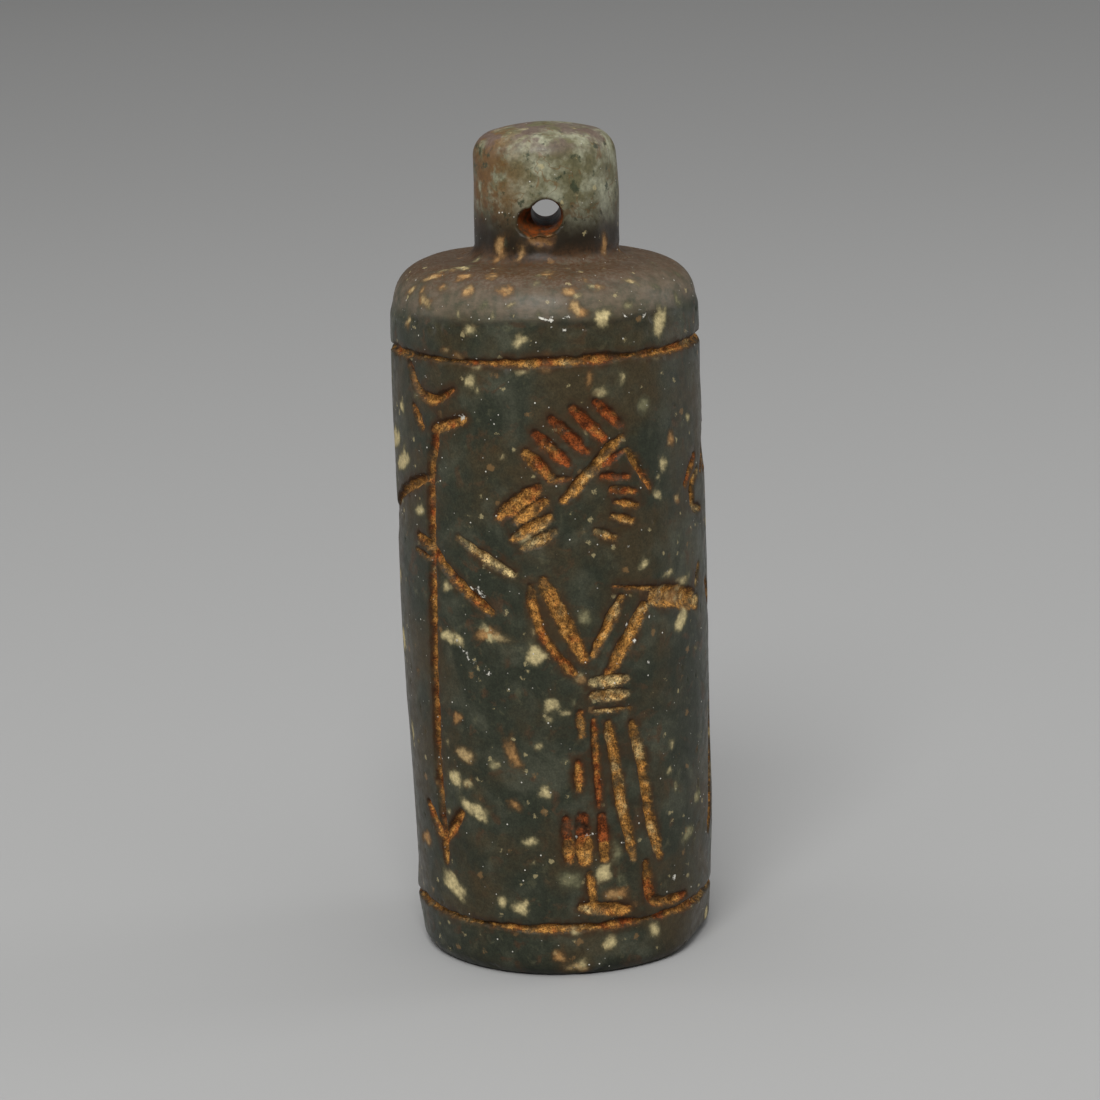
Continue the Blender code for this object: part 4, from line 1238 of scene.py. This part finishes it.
def stone_material(paint):
    """Stone, pale inclusions, earth in the engraving and white crumbs that also stand as painted glints, each
    with its own gloss and grain.
    """
    s = Shader("dark_stone")
    fine, mid = s.noise(0.14, 4, 0.65), s.noise(0.45, 5, 0.6)
    wobble = s.minus(s.noise(0.26, 5, 0.72), 0.5)
    colour_now = stone_ground(s, paint)

    # Inclusions, with soft frayed edges, cloudy inside
    field = s.plus(s.noted("spot"), s.times(wobble, 0.36))
    body = s.ramp(field, -0.26, 0.15)
    core = s.ramp(field, -0.10, 0.26)
    kind = s.noted("spot_kind")
    spot_colour = s.mix(s.ramp(kind, 0.05, 0.45), paint.olive, paint.cream)
    spot_colour = s.mix(s.ramp(kind, 0.6, 1.0), spot_colour, paint.tan)
    fringe = s.mix(0.6, colour_now, s.mix(s.ramp(kind, 0.6, 0.9), paint.olive, paint.knob_brown))
    spot_colour = s.mix(core, fringe, spot_colour)
    spot_colour = shaded(s, spot_colour, s.clouds(0.22, 4, 0.7, 0.34, 0.64, 0.70, 1.12))
    spot_colour = shaded(s, spot_colour, s.ramp(field, 0.0, 0.34, 0.70, 1.12))
    strength = s.clouds(0.9, 4, 0.6, 0.2, 0.42, 0.7, 1.0)
    frayed = s.times(wobble, 0.9)
    colour_now = s.mix(s.times(body, strength), colour_now, spot_colour)
    colour_now = s.mix(s.times(specks(s, 1.1, 0.17, 0.5, frayed), 0.5), colour_now, paint.cream)
    colour_now = s.mix(s.times(specks(s, 1.9, 0.28, 0.45, frayed), 0.35), colour_now, paint.tan)

    # Rust that has crept out of the strokes
    stroke = s.noted("stroke")
    crept = s.plus(stroke, s.times(wobble, 0.6))
    patchy = s.clouds(1.3, 4, 0.65, 0.38, 0.64, 0.1, 0.95)
    halo = s.times(s.ramp(crept, -0.6, 0.0), patchy)
    colour_now = s.mix(halo, colour_now, paint.creep)
    inside = s.plus(stroke, s.times(wobble, 0.5))
    covered = s.clouds(1.3, 3, 0.6, 0.38, 0.50, 0.45, 1.0)
    filled = s.times(s.ramp(inside, -0.15, 0.15), covered)
    filled = s.times(filled, s.ramp(field, 0.05, 0.3, 1.0, 0.45))
    # The side places the painted shade on each stroke's upper left edge
    side = s.plus(s.noted("stroke_side"), s.times(wobble, 1.2))
    colour_now = s.mix(filled, colour_now, earth(s, paint, inside, side))

    # The string hole
    rusty = s.mix(s.ramp(mid, 0.40, 0.60), paint.rust, paint.stain)
    worn = s.mix(s.ramp(mid, 0.40, 0.60), shaded(s, paint.knob_brown, 1.3), paint.stain)
    colour_now = s.mix(s.ramp(s.noted("string_wear"), 0.05, 0.5, 0.0, 0.9), colour_now, worn)
    colour_now = s.mix(s.ramp(s.noted("bore"), 0.0, 1.0, 0.0, 0.95), colour_now, rusty)

    # White crumbs and painted glints: crisp white dots that stand in for the polish's small bright glints as
    # well as for crumbs
    crumb_and_glint = s.ramp(s.plus(s.noted("crumb_and_glint"), s.times(wobble, 0.4)), -0.03, 0.02)
    crumb_and_glint = s.larger(crumb_and_glint, specks(s, 0.9, 0.07, 0.6))
    crumb_and_glint = s.larger(crumb_and_glint, s.times(specks(s, 0.6, 0.05, 0.6), 0.5))
    colour_now = s.mix(crumb_and_glint, colour_now, paint.dust_and_glints)
    s.feed(s.principled.inputs["Base Color"], colour_now)

    # Gloss: worn satin stone, dull earth
    gloss = s.clouds(0.7, 4, 0.6, 0.3, 0.7, 0.30, 0.46)
    gloss = s.blend(body, gloss, 0.55)
    gloss = s.blend(filled, gloss, 0.88)
    gloss = s.larger(gloss, s.times(crumb_and_glint, 0.9))
    s.feed(s.principled.inputs["Roughness"], gloss)
    s.principled.inputs["Specular IOR Level"].default_value = 0.22

    # Grain: fine on the polish, coarse in the earth
    polish = s.plus(s.times(fine, 0.10), s.times(mid, 0.15))
    grain = s.blend(filled, polish, s.times(s.noise(0.12, 3, 0.65), 0.9))
    grain = s.blend(body, grain, s.times(s.noise(0.14, 5, 0.7), 0.35))
    grain = s.plus(grain, s.times(crumb_and_glint, 0.6))
    bump = s.tree.nodes.new("ShaderNodeBump")
    bump.inputs["Distance"].default_value = 0.1 * MM
    bump.inputs["Strength"].default_value = 0.8
    s.feed(bump.inputs["Height"], grain)
    s.feed(s.principled.inputs["Normal"], bump.outputs["Normal"])
    return s.material


class SEAL_OT_stone(bpy.types.Operator):
    """Turn, pierce, engrave and age the stone"""

    bl_idname = "seal.stone"
    bl_label = "Add the stone"

    def execute(self, context):
        size, paint = context.scene.seal_sizes, context.scene.seal_colours
        stone = turned_blank(size)
        pierce(stone, size)
        apply_modifier(stone, "REMESH", mode="VOXEL", voxel_size=size.grain)
        outline = tuple(np.array(profile(size)).T)
        carve(stone, size, outline)
        thin_out(stone, size.triangles)
        mark_surface(stone, size, outline)
        stone.data.materials.clear()
        stone.data.materials.append(stone_material(paint))
        stone.data.shade_smooth()
        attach(stone, "root")
        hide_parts("cylinder_seal")
        return {"FINISHED"}


# The stage

FLOOR_SIDE = 8.0
SENSOR_WIDTH = 36  # millimetres


def soft_light(name, place, aim, wide, tall, power):
    """A soft rectangular light that faces a point."""
    lamp = bpy.data.lights.new(name, "AREA")
    lamp.shape = "RECTANGLE"
    lamp.size, lamp.size_y, lamp.energy = wide, tall, power
    obj = bpy.data.objects.new(name, lamp)
    obj.location = place
    obj.rotation_euler = (Vector(aim) - Vector(place)).to_track_quat("-Z", "Y").to_euler()
    obj.visible_camera = False
    bpy.context.scene.collection.objects.link(obj)


class SEAL_OT_stage(bpy.types.Operator):
    """Add the floor, the lights and the camera"""

    bl_idname = "seal.stage"
    bl_label = "Add the stage"

    def execute(self, context):
        stage = context.scene.seal_stage
        deselect_all()
        bpy.ops.mesh.primitive_plane_add(size=FLOOR_SIDE, location=(0, 0, 0))
        floor = context.object
        floor.name = "floor"
        matte = Shader("pale_floor")
        matte.principled.inputs["Base Color"].default_value = (*stage.floor, 1)
        matte.principled.inputs["Roughness"].default_value = 0.9
        floor.data.materials.append(matte.material)

        middle = (0, 0, SEAL_HEIGHT / 2)
        soft_light("ceiling_light", (0, 0, 2.4), middle, 4.0, 4.0, 45)
        soft_light("key_light", (-0.06, -0.40, 0.43), middle, 0.26, 0.26, 2.2)
        soft_light("left_light", (-0.40, 0.10, 0.16), middle, 0.16, 0.40, 0.18)
        soft_light("right_light", (0.40, 0.10, 0.16), middle, 0.16, 0.40, 0.35)

        world = bpy.data.worlds.new("even_light")
        world.use_nodes = True
        world.node_tree.nodes["Background"].inputs["Color"].default_value = (1, 1, 1, 1)
        world.node_tree.nodes["Background"].inputs["Strength"].default_value = stage.world
        context.scene.world = world

        lens = bpy.data.cameras.new("camera")
        lens.lens, lens.sensor_width, lens.clip_start = stage.lens, SENSOR_WIDTH, 0.01
        camera = bpy.data.objects.new("camera", lens)
        turned = Matrix.Rotation(stage.yaw, 4, "Z") @ Matrix.Rotation(pi / 2 - stage.pitch, 4, "X")
        rolled = turned @ Matrix.Rotation(stage.roll, 4, "Z")
        camera.matrix_world = Matrix.Translation((0, -stage.distance, stage.height)) @ rolled
        context.scene.collection.objects.link(camera)
        context.scene.camera = camera
        context.scene.view_settings.view_transform = "Standard"
        return {"FINISHED"}


class SEAL_PT_panel(bpy.types.Panel):
    """Sizes, colours and steps of the seal"""

    bl_idname = "SEAL_PT_panel"
    bl_label = "Cylinder seal"
    bl_space_type = "VIEW_3D"
    bl_region_type = "UI"
    bl_category = "Seal"

    def draw(self, context):
        for group in (context.scene.seal_sizes, context.scene.seal_colours, context.scene.seal_stage):
            box = self.layout.box()
            for name in group.__annotations__:
                box.prop(group, name)
        self.layout.operator("seal.stone")
        self.layout.operator("seal.stage")


CLASSES = (SealSizes, SealColours, StageSettings, SEAL_OT_stone, SEAL_OT_stage, SEAL_PT_panel)


def register():
    for cls in CLASSES:
        bpy.utils.register_class(cls)
    bpy.types.Scene.seal_sizes = PointerProperty(type=SealSizes)
    bpy.types.Scene.seal_colours = PointerProperty(type=SealColours)
    bpy.types.Scene.seal_stage = PointerProperty(type=StageSettings)


def unregister():
    del bpy.types.Scene.seal_stage
    del bpy.types.Scene.seal_colours
    del bpy.types.Scene.seal_sizes
    for cls in reversed(CLASSES):
        bpy.utils.unregister_class(cls)


def main():
    register()
    bpy.ops.seal.stone()
    bpy.ops.seal.stage()


if __name__ == "__main__":
    main()
